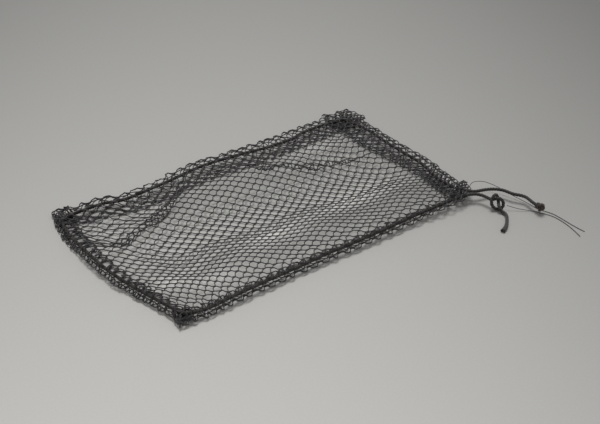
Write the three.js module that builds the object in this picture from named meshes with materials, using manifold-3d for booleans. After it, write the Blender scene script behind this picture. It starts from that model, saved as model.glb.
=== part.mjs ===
// Luggage net: a rectangle of openwork netting with its edges turned under all round,
// a drawcord inside the hem, and the cord's two free ends at one corner.
// Millimetres, +Z up. The origin is on the surface under the middle of the net, and +X
// runs along its long side. The cord leaves the hem at the corner of +X and -Y.

import * as THREE from 'three';
import { mergeVertices } from 'three/addons/utils/BufferGeometryUtils.js';
import Module from 'manifold-3d';

const wasm = await Module();
wasm.setup();
const { smoothstep, lerp } = THREE.MathUtils;

// Driving sizes of the cloth: half sizes to the folded edge, and thicknesses
const HALF_LENGTH = 102;
const HALF_WIDTH = 62;
const PANEL_THICK = 1.0;
const HEM_THICK = 1.3;

// The netting's own mesh along the length and across it, and how much coarser it is cut here
const MESH_PITCH = 6.9;
const MESH_ROW = 2.9;
const MESH_PILLAR = 1.7;
const CUT_SCALE = 2;
const STRAND_WIDTH = 2.0;

// Cords and threads
const CORD_DIAMETER = 1.8;
const CORD_SIDES = 8;
const THREAD_DIAMETER = 0.5;
const EXIT_CLEARANCE = 0.5;

// How far each folded edge stands outside the plain rectangle, along that edge
const FAR_EDGE = [
  { along: -102, out: 5.0 },
  { along: -86, out: 2.1 },
  { along: -73, out: 2.2 },
  { along: -56, out: -3.7 },
  { along: -40, out: -3.1 },
  { along: -17, out: 0.2 },
  { along: -4, out: 1.6 },
  { along: 12, out: -0.5 },
  { along: 33, out: -1.5 },
  { along: 54, out: -1.7 },
  { along: 69, out: -0.7 },
  { along: 86, out: 0.3 },
  { along: 102, out: 0.2 },
];
const RIGHT_EDGE = [
  { along: -62, out: -1.6 },
  { along: -40, out: 0.1 },
  { along: -17, out: 2.8 },
  { along: 15, out: 2.7 },
  { along: 36, out: 4.2 },
  { along: 62, out: 4.7 },
];
const NEAR_EDGE = [
  { along: -102, out: -0.9 },
  { along: -80, out: 0.4 },
  { along: -42, out: -0.5 },
  { along: -19, out: -1.0 },
  { along: 32, out: -0.3 },
  { along: 60, out: -0.6 },
  { along: 90, out: 0.1 },
  { along: 102, out: -3.0 },
];
const LEFT_EDGE = [
  { along: -62, out: -7.8 },
  { along: -51, out: -8.7 },
  { along: -40, out: -6.9 },
  { along: -26, out: -3.4 },
  { along: -9, out: 0.6 },
  { along: 9, out: 1.8 },
  { along: 35, out: 1.6 },
  { along: 49, out: -0.6 },
  { along: 62, out: -4.6 },
];
const EDGE_REACH = 50;
const MIDDLE_X = 1.4;
const MIDDLE_Y = 1.7;

// The hem: folded under all round, with its free edge lying flat on the surface inside
const HEM_WIDTH = 18;
const NEAR_HEM_WIDTH = 13;
const LEFT_HEM_WIDTH = 13.4;
const FOLD_RADIUS = 2.0;
const FOLD_TURN = 5.5;
const CASING_GAP = 4.2;
const SEAM_GAP = 2.2;
const CASING_FULL = 8;
const HEM_LIFT = 4.6;
const RIM_TILT = 0.4;
const SEAM_TILT = 0.9;
const FLAP_LANDS = 0.68;

// How much of the hem's lift each corner keeps
const CORNERS = [
  { u: HALF_LENGTH, v: HALF_WIDTH, keeps: 0.05 },
  { u: -HALF_LENGTH, v: HALF_WIDTH, keeps: 0.05 },
  { u: -HALF_LENGTH, v: -HALF_WIDTH, keeps: 0.75 },
  { u: HALF_LENGTH, v: -HALF_WIDTH, keeps: 1.0 },
];
const CORNER_NEAR = 20;
const CORNER_FAR = 50;

// Rises and dips of the hem between its corners
const HEM_WAVES = [
  { u: -60, v: 58, reach: 22, rise: -2.4 },
  { u: -4, v: 60, reach: 36, rise: -1.7 },
  { u: 52, v: 58, reach: 22, rise: -1.8 },
  { u: 100, v: 20, reach: 26, rise: -1.9 },
  { u: 34, v: -62, reach: 17, rise: 0.8 },
  { u: -22, v: -62, reach: 15, rise: -0.8 },
  { u: -64, v: -62, reach: 12, rise: 0.5 },
  { u: -102, v: 14, reach: 14, rise: 0.8 },
  { u: -98, v: -26, reach: 11, rise: -0.8 },
];

// The panel: two slopes that meet in a valley on the surface, the near one steep and rippled
const VALLEY_V = -6.5;
const VALLEY_TURN = -0.085;
const FAR_SLOPE = 0.23;
const FAR_SOFT = 8;
const NEAR_SLOPE = 0.42;
const NEAR_SOFT = 3;
const NEAR_RISE = 7;
const RIPPLE_SHARE = 0.18;
const RIPPLE_PITCH = 54;
const RIPPLE_AT = -42;
const SIDE_REACH = 18;
const END_REACH = 30;

// Creases of the panel: a raised line from one point to another, and the sag beyond it
const CREASES = [
  { u0: -84, v0: 14, u1: -20, v1: 47, rise: 0.5, half: 6, sag: 3.4, sagReach: 18 },
  { u0: 12, v0: 37, u1: 68, v1: 9, rise: 0.6, half: 6, sag: 3.6, sagReach: 20 },
  { u0: -80, v0: -30, u1: -50, v1: -46, rise: 0.3, half: 4, sag: 0.8, sagReach: 8 },
  { u0: -30, v0: -23, u1: 2, v1: -26, rise: 0.2, half: 4, sag: 0.6, sagReach: 9 },
  { u0: 26, v0: -21, u1: 76, v1: -28, rise: 0.3, half: 4, sag: 0.6, sagReach: 8 },
];
const CREASE_TAPER = 0.2;
const CREASE_FADE = 8;

// The drawcord inside the hem, by its distance from the folded edge along each side in turn
const CORD_ON_RIGHT = [
  { along: -49.8, inset: 6.0 },
  { along: -36, inset: 7.4 },
  { along: -18, inset: 6.2 },
  { along: 0, inset: 5.9 },
  { along: 15, inset: 5.6 },
  { along: 30, inset: 5.3 },
  { along: 42, inset: 6.2 },
  { along: 51, inset: 8.4 },
];
const CORD_ON_FAR = [
  { along: 93, inset: 9.2 },
  { along: 85, inset: 7.8 },
  { along: 76, inset: 6.5 },
  { along: 65, inset: 7.3 },
  { along: 55, inset: 9.1 },
  { along: 38, inset: 8.7 },
  { along: 25, inset: 7.1 },
  { along: 13, inset: 6.1 },
  { along: -6, inset: 6.6 },
  { along: -28, inset: 6.6 },
  { along: -42, inset: 5.9 },
  { along: -58, inset: 5.9 },
  { along: -70, inset: 7.1 },
  { along: -82, inset: 6.5 },
  { along: -91, inset: 7.6 },
];
const CORD_ON_LEFT = [
  { along: 52, inset: 6.5 },
  { along: 40, inset: 4.8 },
  { along: 20, inset: 4.4 },
  { along: 0, inset: 4.4 },
  { along: -20, inset: 4.4 },
  { along: -40, inset: 4.8 },
  { along: -52, inset: 6.5 },
];
const CORD_ON_NEAR = [
  { along: -92, inset: 6.5 },
  { along: -80, inset: 4.8 },
  { along: -60, inset: 4.4 },
  { along: -40, inset: 4.6 },
  { along: -20, inset: 4.4 },
  { along: 0, inset: 4.8 },
  { along: 20, inset: 4.4 },
  { along: 40, inset: 4.5 },
  { along: 60, inset: 4.8 },
  { along: 74, inset: 4.8 },
  { along: 86.4, inset: 4.8 },
];

// Free ends: routes from inside the hem, through the corner and out over the surface
const TIE_LONG_ROUTE = [
  [95.0, -52.4, 5.0],
  [95.5, -54.7, 5.0],
  [96.6, -57.3, 5.0],
  [98.1, -59.5, 5.0],
  [100.0, -61.0, 5.0],
  [102.6, -61.9, 5.0],
  [105.8, -62.9, 4.9],
  [108.7, -64.3, 4.8],
  [111.2, -66.1, 4.7],
  [113.2, -68.4, 4.6],
  [114.2, -70.9, 4.5],
  [115.0, -73.6, 4.4],
  [116.2, -75.9, 4.3],
  [117.6, -78.0, 4.3],
  [118.6, -80.0, 4.2],
  [118.8, -82.3, 4.2],
  [118.4, -85.0, 4.1],
  [118.1, -87.5, 4.0],
  [118.1, -89.2, 3.9],
];
const STOPPER_CENTRE = [118.3, -93.1, 3.9];
const TIE_SHORT_TO_KNOT = [
  [86.0, -59.3, 5.0],
  [89.1, -59.7, 5.0],
  [92.4, -60.5, 5.0],
  [95.4, -61.6, 5.0],
  [97.9, -63.1, 5.0],
  [99.7, -65.1, 4.8],
  [100.5, -67.6, 4.8],
  [100.8, -70.0, 4.8],
];
const TIE_SHORT_TAIL = [
  [101.4, -82.9, 1.05],
  [100.2, -85.3, 1.0],
  [97.7, -88.0, 1.0],
  [94.8, -90.6, 1.0],
  [91.4, -92.9, 1.0],
  [88.3, -94.1, 1.0],
];
const THREAD_UPPER_ROUTE = [
  [100.0, -55.8, 4.9],
  [101.2, -55.3, 6.0],
  [103.3, -54.9, 6.6],
  [105.6, -55.1, 6.4],
  [107.8, -55.7, 6.1],
  [109.7, -56.7, 5.7],
  [111.4, -58.1, 5.2],
  [113.6, -60.9, 4.2],
  [115.2, -64.0, 3.3],
  [116.3, -68.4, 2.4],
  [117.7, -74.2, 1.5],
  [119.1, -80.1, 0.8],
  [119.8, -85.1, 0.5],
  [120.1, -89.3, 0.3],
  [120.8, -91.8, 0.3],
  [121.9, -94.5, 0.3],
  [123.1, -98.7, 0.3],
  [123.3, -104.4, 0.3],
  [123.2, -109.9, 0.3],
  [123.3, -115.4, 0.3],
  [123.7, -120.1, 0.3],
];
const THREAD_LOWER_ROUTE = [
  [106.2, -79.2, 2.7],
  [107.5, -80.7, 2.2],
  [109.0, -82.4, 1.7],
  [110.9, -84.4, 1.2],
  [113.3, -86.8, 0.8],
  [116.0, -89.4, 0.45],
  [118.0, -92.3, 0.3],
  [119.6, -95.5, 0.3],
  [121.2, -100.1, 0.3],
  [121.5, -105.4, 0.3],
  [121.0, -111.0, 0.3],
  [119.9, -116.2, 0.3],
  [118.3, -121.8, 0.3],
];

// The open overhand knot in the short end. It lies on a plane that leans back, and each point is
// given by how far it is to the right on that plane, up it, and off it.
const KNOT_CENTRE = [102.3, -75.7, 4.1];
const KNOT_TURN = THREE.MathUtils.degToRad(-36.9);
const KNOT_LEAN = THREE.MathUtils.degToRad(40);
const KNOT_ROUTE = [
  [-2.9, 2.2, -1.05],
  [-1.3, 2.2, -0.3],
  [0.2, 2.2, 0.9],
  [1.9, 1.7, 1],
  [3.1, 0.3, 0.4],
  [3.1, -1.6, -0.4],
  [1.9, -3.1, -0.9],
  [0.2, -3.4, -1.05],
  [-1.9, -2.7, -0.5],
  [-3.2, -0.8, 0.2],
  [-3.1, 1.5, 0.9],
  [-2, 3.5, 1.3],
  [-0.6, 4.4, 0.5],
  [0.5, 3.6, -0.9],
  [0.8, 1.9, -1.2],
  [0.6, -0.6, -0.2],
  [0.8, -3.1, 1.1],
  [2, -5.1, 0.7],
];

// Tables are read with a smooth run from each row to the next
function tableValue(rows, at) {
  const last = rows.length - 1;
  if (at <= rows[0].along) return rows[0].out;
  if (at >= rows[last].along) return rows[last].out;
  const next = rows.findIndex((row) => row.along >= at);
  const from = rows[next - 1];
  const to = rows[next];
  return lerp(from.out, to.out, smoothstep(at, from.along, to.along));
}

// Cloth coordinates (u, v) lie on the plain rectangle, and plan gives the true place,
// moved so that the middle of the whole net is the origin
function plan(u, v) {
  const fade = (inside) => 1 - smoothstep(inside, 0, EDGE_REACH);
  const right = tableValue(RIGHT_EDGE, v) * fade(HALF_LENGTH - u);
  const left = tableValue(LEFT_EDGE, v) * fade(HALF_LENGTH + u);
  const far = tableValue(FAR_EDGE, u) * fade(HALF_WIDTH - v);
  const near = tableValue(NEAR_EDGE, u) * fade(HALF_WIDTH + v);
  return [u + right - left - MIDDLE_X, v + far - near - MIDDLE_Y];
}

function insetAt(u, v) {
  return Math.min(HALF_LENGTH - Math.abs(u), HALF_WIDTH - Math.abs(v));
}

// The hem is widest on the far side and narrows towards the near one and the left end
function hemWidthAt(u, v) {
  const acrossNet = lerp(NEAR_HEM_WIDTH, HEM_WIDTH, smoothstep(v, -34, 40));
  return lerp(acrossNet, LEFT_HEM_WIDTH, smoothstep(-u, 78, 98));
}

// How far the hem stands off the surface
function hemLift(u, v) {
  let rise = HEM_LIFT;
  for (const wave of HEM_WAVES) {
    const away = Math.hypot(u - wave.u, v - wave.v) / wave.reach;
    rise += wave.rise * Math.exp(-away * away);
  }
  for (const corner of CORNERS) {
    const away = Math.hypot(u - corner.u, v - corner.v);
    rise *= lerp(corner.keeps, 1, smoothstep(away, CORNER_NEAR, CORNER_FAR));
  }
  return rise;
}

// The hem's two layers: the flap comes down from the fold and lands flat on the surface
function flapHeight(u, v, inset) {
  const landed = smoothstep(inset, 0, FLAP_LANDS * hemWidthAt(u, v));
  return HEM_THICK / 2 + hemLift(u, v) * RIM_TILT * (1 - landed);
}

function hemTopHeight(u, v, inset) {
  const tilt = lerp(RIM_TILT, SEAM_TILT, inset / HEM_WIDTH);
  const gap = lerp(CASING_GAP, SEAM_GAP, smoothstep(inset, CASING_FULL, hemWidthAt(u, v)));
  return HEM_THICK / 2 + hemLift(u, v) * tilt + gap;
}

// One crease: a soft ridge along its line, and the cloth on its far side lower
function creaseHeight(crease, u, v) {
  const du = crease.u1 - crease.u0;
  const dv = crease.v1 - crease.v0;
  const length = Math.hypot(du, dv);
  const along = ((u - crease.u0) * du + (v - crease.v0) * dv) / (length * length);
  const beyond = ((v - crease.v0) * du - (u - crease.u0) * dv) / length;
  const fadeIn = smoothstep(along, -CREASE_TAPER, CREASE_TAPER);
  const fadeOut = smoothstep(1 - along, -CREASE_TAPER, CREASE_TAPER);
  const ridge = crease.rise * Math.exp(-((beyond / crease.half) ** 2));
  const sag = crease.sag * smoothstep(beyond, 0, crease.sagReach);
  return (ridge - sag) * fadeIn * fadeOut;
}

function basinHeight(u, v) {
  const across = v - VALLEY_V - VALLEY_TURN * u;
  if (across > 0) return PANEL_THICK / 2 + FAR_SLOPE * (Math.hypot(across, FAR_SOFT) - FAR_SOFT);
  const ripple = 1 + RIPPLE_SHARE * Math.cos((2 * Math.PI * (u - RIPPLE_AT)) / RIPPLE_PITCH);
  const run = Math.hypot(across, NEAR_SOFT) - NEAR_SOFT;
  return PANEL_THICK / 2 + NEAR_RISE * ripple * (1 - Math.exp((-run * NEAR_SLOPE) / NEAR_RISE));
}

// How much the hem holds the panel up, from all at the hem's inner edge to nothing
function pullTowards(inside, hemWidth, reach) {
  return (1 - THREE.MathUtils.clamp((inside - hemWidth) / reach, 0, 1)) ** 2;
}

// The middle of the upper layer: the panel, running up over the hem to the fold
function topHeight(u, v) {
  const inset = Math.max(insetAt(u, v), 0);
  const hemWidth = hemWidthAt(u, v);
  if (inset < hemWidth) return hemTopHeight(u, v, inset);
  const endPull = pullTowards(HALF_LENGTH - Math.abs(u), hemWidth, END_REACH);
  const sidePull = pullTowards(HALF_WIDTH - Math.abs(v), hemWidth, SIDE_REACH);
  const pull = 1 - (1 - endPull) * (1 - sidePull);
  const panel = lerp(basinHeight(u, v), hemTopHeight(u, v, hemWidth), pull);
  let creases = 0;
  for (const crease of CREASES) creases += creaseHeight(crease, u, v);
  const shown = smoothstep(inset, hemWidth, hemWidth + CREASE_FADE);
  return Math.max(panel + creases * shown, PANEL_THICK / 2);
}

// Exchange between three.js geometry and solids for joining and cutting
function toSolid(geometry) {
  const bare = geometry.clone();
  bare.deleteAttribute('normal');
  bare.deleteAttribute('uv');
  const merged = mergeVertices(bare, 1e-4);
  return new wasm.Manifold(new wasm.Mesh({
    numProp: 3,
    vertProperties: new Float32Array(merged.attributes.position.array),
    triVerts: new Uint32Array(merged.index.array),
  }));
}

function toGeometry(solid) {
  const mesh = solid.getMesh();
  const geometry = new THREE.BufferGeometry();
  geometry.setAttribute('position', new THREE.BufferAttribute(new Float32Array(mesh.vertProperties), 3));
  geometry.setIndex(new THREE.BufferAttribute(new Uint32Array(mesh.triVerts), 1));
  geometry.computeVertexNormals();
  return geometry;
}

function indexedGeometry(points, triangles) {
  const geometry = new THREE.BufferGeometry();
  geometry.setAttribute('position', new THREE.Float32BufferAttribute(points.flat(), 3));
  geometry.setIndex(triangles.flat());
  return geometry;
}

// A sheet from flat triangles in cloth coordinates: upper face, lower face and a wall on each free edge
function sheetGeometry(corners, triangles) {
  const count = corners.length;
  const points = [];
  for (const side of [0.5, -0.5]) {
    for (const [u, v] of corners) points.push([...plan(u, v), topHeight(u, v) + side * PANEL_THICK]);
  }
  const edges = new Set();
  for (const [a, b, c] of triangles) [[a, b], [b, c], [c, a]].forEach((edge) => edges.add(edge.join()));
  const faces = triangles.map((triangle) => [...triangle]);
  for (const [a, b, c] of triangles) faces.push([a + count, c + count, b + count]);
  for (const edge of edges) {
    const [a, b] = edge.split(',').map(Number);
    if (edges.has([b, a].join())) continue;
    faces.push([b, a, a + count], [b, a + count, b + count]);
  }
  return indexedGeometry(points, faces);
}

// The panel: staggered six-sided meshes, cut where they lie clear of the hem and filled beside it.
// Meshes beside each other across the net share a short strand that runs along its length.
function panelGeometry() {
  const across = 2 * MESH_ROW * CUT_SCALE;
  const along = (MESH_PITCH / 2) * CUT_SCALE;
  const pillar = (MESH_PILLAR * CUT_SCALE) / 2;
  const peak = along - pillar;
  const shrinkU = 1 - STRAND_WIDTH / (2 * peak);
  const shrinkV = 1 - STRAND_WIDTH / across;
  const outline = [[peak, 0], [pillar, 0.5], [-pillar, 0.5], [-peak, 0], [-pillar, -0.5], [pillar, -0.5]];
  const hidden = 8;
  const covered = 9;
  const clearOfHem = 0.5;
  const clampTo = (value, limit) => THREE.MathUtils.clamp(value, -limit, limit);

  const corners = [];
  const tiles = new Map();
  const columns = Math.ceil(HALF_LENGTH / along);
  const rows = Math.ceil(HALF_WIDTH / across);
  for (let i = -columns; i <= columns; i += 1) {
    for (let j = -rows; j <= rows; j += 1) {
      const u = i * along;
      const v = (j + (i % 2 ? 0.5 : 0)) * across;
      if (insetAt(u, v) < covered) continue;
      const shape = outline.map(([pu, pv]) => [
        clampTo(u + pu * shrinkU, HALF_LENGTH - hidden),
        clampTo(v + pv * across * shrinkV, HALF_WIDTH - hidden),
      ]);
      const open = shape.every(([cu, cv]) => insetAt(cu, cv) > hemWidthAt(cu, cv) + clearOfHem);
      tiles.set(`${i},${j}`, { first: corners.length, open });
      corners.push(...shape);
    }
  }

  const [right, farRight, farLeft, left, nearLeft, nearRight] = [0, 1, 2, 3, 4, 5];
  const triangles = [];
  const quad = (a, b, c, d) => triangles.push([a, b, c], [a, c, d]);
  for (const [key, tile] of tiles) {
    const [i, j] = key.split(',').map(Number);
    const shift = i % 2 ? 1 : 0;
    const here = tile.first;
    const far = tiles.get(`${i},${j + 1}`)?.first;
    const nextFar = tiles.get(`${i + 1},${j + shift}`)?.first;
    const nextNear = tiles.get(`${i + 1},${j + shift - 1}`)?.first;
    const hasFar = far !== undefined;
    const hasNextFar = nextFar !== undefined;
    const hasNextNear = nextNear !== undefined;
    if (hasFar) quad(here + farLeft, here + farRight, far + nearRight, far + nearLeft);
    if (hasNextFar) quad(here + right, nextFar + nearLeft, nextFar + left, here + farRight);
    if (hasNextNear) quad(here + nearRight, nextNear + left, nextNear + farLeft, here + right);
    if (hasFar && hasNextFar) triangles.push([here + farRight, nextFar + left, far + nearRight]);
    if (hasNextFar && hasNextNear) triangles.push([here + right, nextNear + farLeft, nextFar + nearLeft]);
    if (!tile.open) {
      quad(here + right, here + farRight, here + farLeft, here + left);
      quad(here + left, here + nearLeft, here + nearRight, here + right);
    }
  }
  return sheetGeometry(corners, triangles);
}

// Places round the folded edge, as shares of the half sizes, with a small round at each corner
function hemStations() {
  const alongLength = 19;
  const alongWidth = 12;
  const round = 1.2;
  const cornerU = 1 - round / HALF_LENGTH;
  const cornerV = 1 - round / HALF_WIDTH;
  const share = (index, count) => -1 + (2 * index) / count;
  const stations = [];
  for (let k = 1; k < alongWidth; k += 1) stations.push([1, share(k, alongWidth)]);
  stations.push([cornerU, cornerV]);
  for (let k = 1; k < alongLength; k += 1) stations.push([-share(k, alongLength), 1]);
  stations.push([-cornerU, cornerV]);
  for (let k = 1; k < alongWidth; k += 1) stations.push([-1, -share(k, alongWidth)]);
  stations.push([-cornerU, -cornerV]);
  for (let k = 1; k < alongLength; k += 1) stations.push([share(k, alongLength), -1]);
  stations.push([cornerU, -cornerV]);
  return stations;
}

// One point of the folded section: run is positive on the upper layer and negative on the flap
function foldPoint(shareU, shareV, run) {
  const reach = Math.hypot(run, FOLD_RADIUS);
  const inset = reach - FOLD_RADIUS;
  const u = shareU * (HALF_LENGTH - inset);
  const v = shareV * (HALF_WIDTH - inset);
  const under = smoothstep(-run, -FOLD_TURN, FOLD_TURN);
  return { inset, height: lerp(hemTopHeight(u, v, inset), flapHeight(u, v, inset), under) };
}

// The hem: the folded section carried round the whole edge as one closed band
function hemGeometry() {
  const upperRuns = [14.7, 10, 5.5, 2.2, 0];
  const flapShares = [0.13, 0.34, 0.74, 1];
  const step = 0.05;
  const points = [];
  const stations = hemStations();
  for (const [shareU, shareV] of stations) {
    const width = hemWidthAt(shareU * HALF_LENGTH, shareV * HALF_WIDTH) + FOLD_RADIUS;
    const runs = [...upperRuns, ...flapShares.map((share) => -share * width)];
    const ring = { outer: [], inner: [] };
    for (const run of runs) {
      const here = foldPoint(shareU, shareV, run);
      const before = foldPoint(shareU, shareV, run + step);
      const after = foldPoint(shareU, shareV, run - step);
      const tangentInset = after.inset - before.inset;
      const tangentHeight = after.height - before.height;
      const scale = HEM_THICK / 2 / Math.hypot(tangentInset, tangentHeight);
      for (const [name, side] of [['outer', 1], ['inner', -1]]) {
        const inset = here.inset + side * tangentHeight * scale;
        const height = here.height - side * tangentInset * scale;
        const place = plan(shareU * (HALF_LENGTH - inset), shareV * (HALF_WIDTH - inset));
        ring[name].push([...place, Math.max(height, 0)]);
      }
    }
    points.push(...ring.outer, ...ring.inner.reverse());
  }
  const around = points.length / stations.length;
  const faces = [];
  for (let s = 0; s < stations.length; s += 1) {
    const next = (s + 1) % stations.length;
    for (let k = 0; k < around; k += 1) {
      const a = s * around + k;
      const b = s * around + ((k + 1) % around);
      const c = next * around + ((k + 1) % around);
      const d = next * around + k;
      faces.push([a, b, c], [a, c, d]);
    }
  }
  return indexedGeometry(points, faces);
}

// A round cord along a smooth route, closed at both ends
function cordGeometry(route, diameter, steps) {
  const section = new THREE.Shape();
  for (let k = 0; k < CORD_SIDES; k += 1) {
    const turn = (2 * Math.PI * (k + 0.5)) / CORD_SIDES;
    const x = (diameter / 2) * Math.cos(turn);
    const y = (diameter / 2) * Math.sin(turn);
    if (k === 0) section.moveTo(x, y);
    else section.lineTo(x, y);
  }
  section.closePath();
  const path = new THREE.CatmullRomCurve3(route.map((point) => new THREE.Vector3(...point)));
  return new THREE.ExtrudeGeometry(section, { steps, bevelEnabled: false, extrudePath: path });
}

// The drawcord's route: in the middle of the casing, side by side round the net
function drawcordRoute() {
  const inCasing = (u, v, inset) => {
    const middle = (flapHeight(u, v, inset) + hemTopHeight(u, v, inset)) / 2;
    return [...plan(u, v), middle];
  };
  return [
    ...CORD_ON_RIGHT.map(({ along, inset }) => inCasing(HALF_LENGTH - inset, along, inset)),
    ...CORD_ON_FAR.map(({ along, inset }) => inCasing(along, HALF_WIDTH - inset, inset)),
    ...CORD_ON_LEFT.map(({ along, inset }) => inCasing(inset - HALF_LENGTH, along, inset)),
    ...CORD_ON_NEAR.map(({ along, inset }) => inCasing(along, inset - HALF_WIDTH, inset)),
  ];
}

// The short end's route, with the overhand knot set on its leaning plane
function tieShortRoute() {
  const plane = new THREE.Matrix4().makeRotationZ(KNOT_TURN);
  plane.multiply(new THREE.Matrix4().makeRotationX(KNOT_LEAN));
  plane.setPosition(...KNOT_CENTRE);
  const knot = KNOT_ROUTE.map((point) => new THREE.Vector3(...point).applyMatrix4(plane).toArray());
  return [...TIE_SHORT_TO_KNOT, ...knot, ...TIE_SHORT_TAIL];
}

// The stopper: a tight knot of two turns, and one more turn wrapped round the cord behind it
function stopperGeometry() {
  const coreRadius = 1.55;
  const turns = [
    { radius: 1.35, thick: 0.95, tiltX: 0.5, tiltY: 0.9, along: 0.35 },
    { radius: 1.35, thick: 0.95, tiltX: -0.7, tiltY: 0.2, along: -0.35 },
    { radius: 1.15, thick: 0.85, tiltX: 1.7, tiltY: 0, along: 2.4 },
  ];
  let solid = toSolid(new THREE.SphereGeometry(coreRadius, 12, 8));
  for (const { radius, thick, tiltX, tiltY, along } of turns) {
    const turn = new THREE.TorusGeometry(radius, thick, 8, 16);
    turn.rotateX(tiltX);
    turn.rotateY(tiltY);
    turn.translate(0, along, 0);
    solid = solid.add(toSolid(turn));
  }
  return toGeometry(solid);
}

const netting = new THREE.MeshStandardMaterial({ color: 0x3a393a, roughness: 0.85, metalness: 0 });
const cordage = new THREE.MeshStandardMaterial({ color: 0x33322d, roughness: 0.8, metalness: 0 });
const thread = new THREE.MeshStandardMaterial({ color: 0x4a4947, roughness: 0.6, metalness: 0 });

function namedMesh(name, geometry, material) {
  const mesh = new THREE.Mesh(geometry, material);
  mesh.name = name;
  return mesh;
}

// The net: panel and hem in one, with the holes in its corner where the cord's ends come out
function netGeometry() {
  const boreDiameter = CORD_DIAMETER + 2 * EXIT_CLEARANCE;
  const boreSteps = 10;
  const throughCorner = 8;
  let net = toSolid(panelGeometry()).add(toSolid(hemGeometry()));
  for (const route of [TIE_LONG_ROUTE, TIE_SHORT_TO_KNOT]) {
    const bore = cordGeometry(route.slice(0, throughCorner), boreDiameter, boreSteps);
    net = net.subtract(toSolid(bore));
  }
  return toGeometry(net);
}

const DRAWCORD_STEPS = 100;
const TIE_LONG_STEPS = 18;
const TIE_SHORT_STEPS = 110;
const THREAD_STEPS = 22;

const luggageNet = new THREE.Group();
luggageNet.add(
  namedMesh('net', netGeometry(), netting),
  namedMesh('drawcord', cordGeometry(drawcordRoute(), CORD_DIAMETER, DRAWCORD_STEPS), cordage),
  namedMesh('tie_long', cordGeometry(TIE_LONG_ROUTE, CORD_DIAMETER, TIE_LONG_STEPS), cordage),
  namedMesh('tie_short', cordGeometry(tieShortRoute(), CORD_DIAMETER, TIE_SHORT_STEPS), cordage),
  namedMesh('thread_tail_upper', cordGeometry(THREAD_UPPER_ROUTE, THREAD_DIAMETER, THREAD_STEPS), thread),
  namedMesh('thread_tail_lower', cordGeometry(THREAD_LOWER_ROUTE, THREAD_DIAMETER, THREAD_STEPS), thread),
);
const stopper = namedMesh('stopper_knot', stopperGeometry(), cordage);
stopper.position.set(...STOPPER_CENTRE);
luggageNet.add(stopper);

export default luggageNet;
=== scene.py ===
# %% [markdown]
# # A luggage net lying on a table
#
# The real thing is one cut rectangle of knitted netting. Its edges are turned under all round to
# make a casing, a drawcord runs inside the casing, and both ends of the cord come out at one corner.
# The solids of the part are loaded first, as a fixed frame. Everything below is made in that same
# frame, in metres, so each piece already lies where its solid lies.

# %% Load the frame
import math

import bpy
import numpy as np
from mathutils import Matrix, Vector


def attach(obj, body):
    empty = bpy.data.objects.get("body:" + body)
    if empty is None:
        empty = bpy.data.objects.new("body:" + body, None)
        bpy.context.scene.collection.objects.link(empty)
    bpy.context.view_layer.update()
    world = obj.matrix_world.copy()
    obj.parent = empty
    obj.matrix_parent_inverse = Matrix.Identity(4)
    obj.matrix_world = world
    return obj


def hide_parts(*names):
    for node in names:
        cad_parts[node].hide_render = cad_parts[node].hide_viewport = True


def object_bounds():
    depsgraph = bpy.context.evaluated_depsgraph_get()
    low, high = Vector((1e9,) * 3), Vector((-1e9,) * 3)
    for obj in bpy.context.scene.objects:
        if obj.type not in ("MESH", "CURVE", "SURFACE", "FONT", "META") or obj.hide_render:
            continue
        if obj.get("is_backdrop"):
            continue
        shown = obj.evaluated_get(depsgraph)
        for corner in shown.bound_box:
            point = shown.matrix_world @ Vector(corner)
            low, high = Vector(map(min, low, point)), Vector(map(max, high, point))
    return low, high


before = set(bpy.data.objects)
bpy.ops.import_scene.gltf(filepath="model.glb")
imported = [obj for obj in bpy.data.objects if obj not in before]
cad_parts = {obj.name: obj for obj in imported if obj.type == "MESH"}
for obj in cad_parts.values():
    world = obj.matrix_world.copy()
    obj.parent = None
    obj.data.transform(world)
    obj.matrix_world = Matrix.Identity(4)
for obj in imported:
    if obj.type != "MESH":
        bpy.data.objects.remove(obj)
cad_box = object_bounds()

MM = 0.001
scene = bpy.context.scene
print("solids:", sorted(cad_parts))

# %% [markdown]
# ## The camera
#
# The net was photographed from above its long side with a long lens, so that its edges hardly
# converge. The place and the lens were worked out once from the four corners of the hem. A camera
# could also be aimed with a Track To constraint, but a plain place and rotation never changes.

# %% Place the camera
CAMERA_PLACE = (-0.30845, -0.4425, 0.34865)
CAMERA_TILT = math.radians(57.0)
CAMERA_TURN = math.radians(-36.887)
LENS = 70.0
SENSOR = 36.0

lens = bpy.data.cameras.new("camera")
lens.lens = LENS
lens.sensor_width = SENSOR
camera = bpy.data.objects.new("camera", lens)
camera.location = CAMERA_PLACE
camera.rotation_euler = (CAMERA_TILT, 0.0, CAMERA_TURN)
scene.collection.objects.link(camera)
scene.camera = camera
print("camera at", CAMERA_PLACE)

# %% [markdown]
# ## Sums that build node trees
#
# A material or a Geometry Nodes tree is mostly arithmetic, and arithmetic is easier to read as
# `1 - ridge * 0.4` than as a chain of Math nodes. The small class below wraps one output socket, and
# every operator on it adds the Math node that it stands for. All other nodes come from one method.

# %% Wrap sockets and trees
class Value:
    """One output socket that can be used in sums."""

    def __init__(self, tree, socket):
        self.tree = tree
        self.socket = socket

    def math(self, operation, *others):
        terms = dict(enumerate((self, *others)))
        return self.tree.node("ShaderNodeMath", {"operation": operation}, terms)

    def out(self, name):
        return Value(self.tree, self.socket.node.outputs[name])

    def __add__(self, other):
        return self.math("ADD", other)

    def __radd__(self, other):
        return self.math("ADD", other)

    def __sub__(self, other):
        return self.math("SUBTRACT", other)

    def __rsub__(self, other):
        return self.tree.node("ShaderNodeMath", {"operation": "SUBTRACT"}, {0: other, 1: self})

    def __mul__(self, other):
        return self.math("MULTIPLY", other)

    def __rmul__(self, other):
        return self.math("MULTIPLY", other)

    def __truediv__(self, other):
        return self.math("DIVIDE", other)

    def __pow__(self, other):
        return self.math("POWER", other)

    def __abs__(self):
        return self.math("ABSOLUTE")


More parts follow.
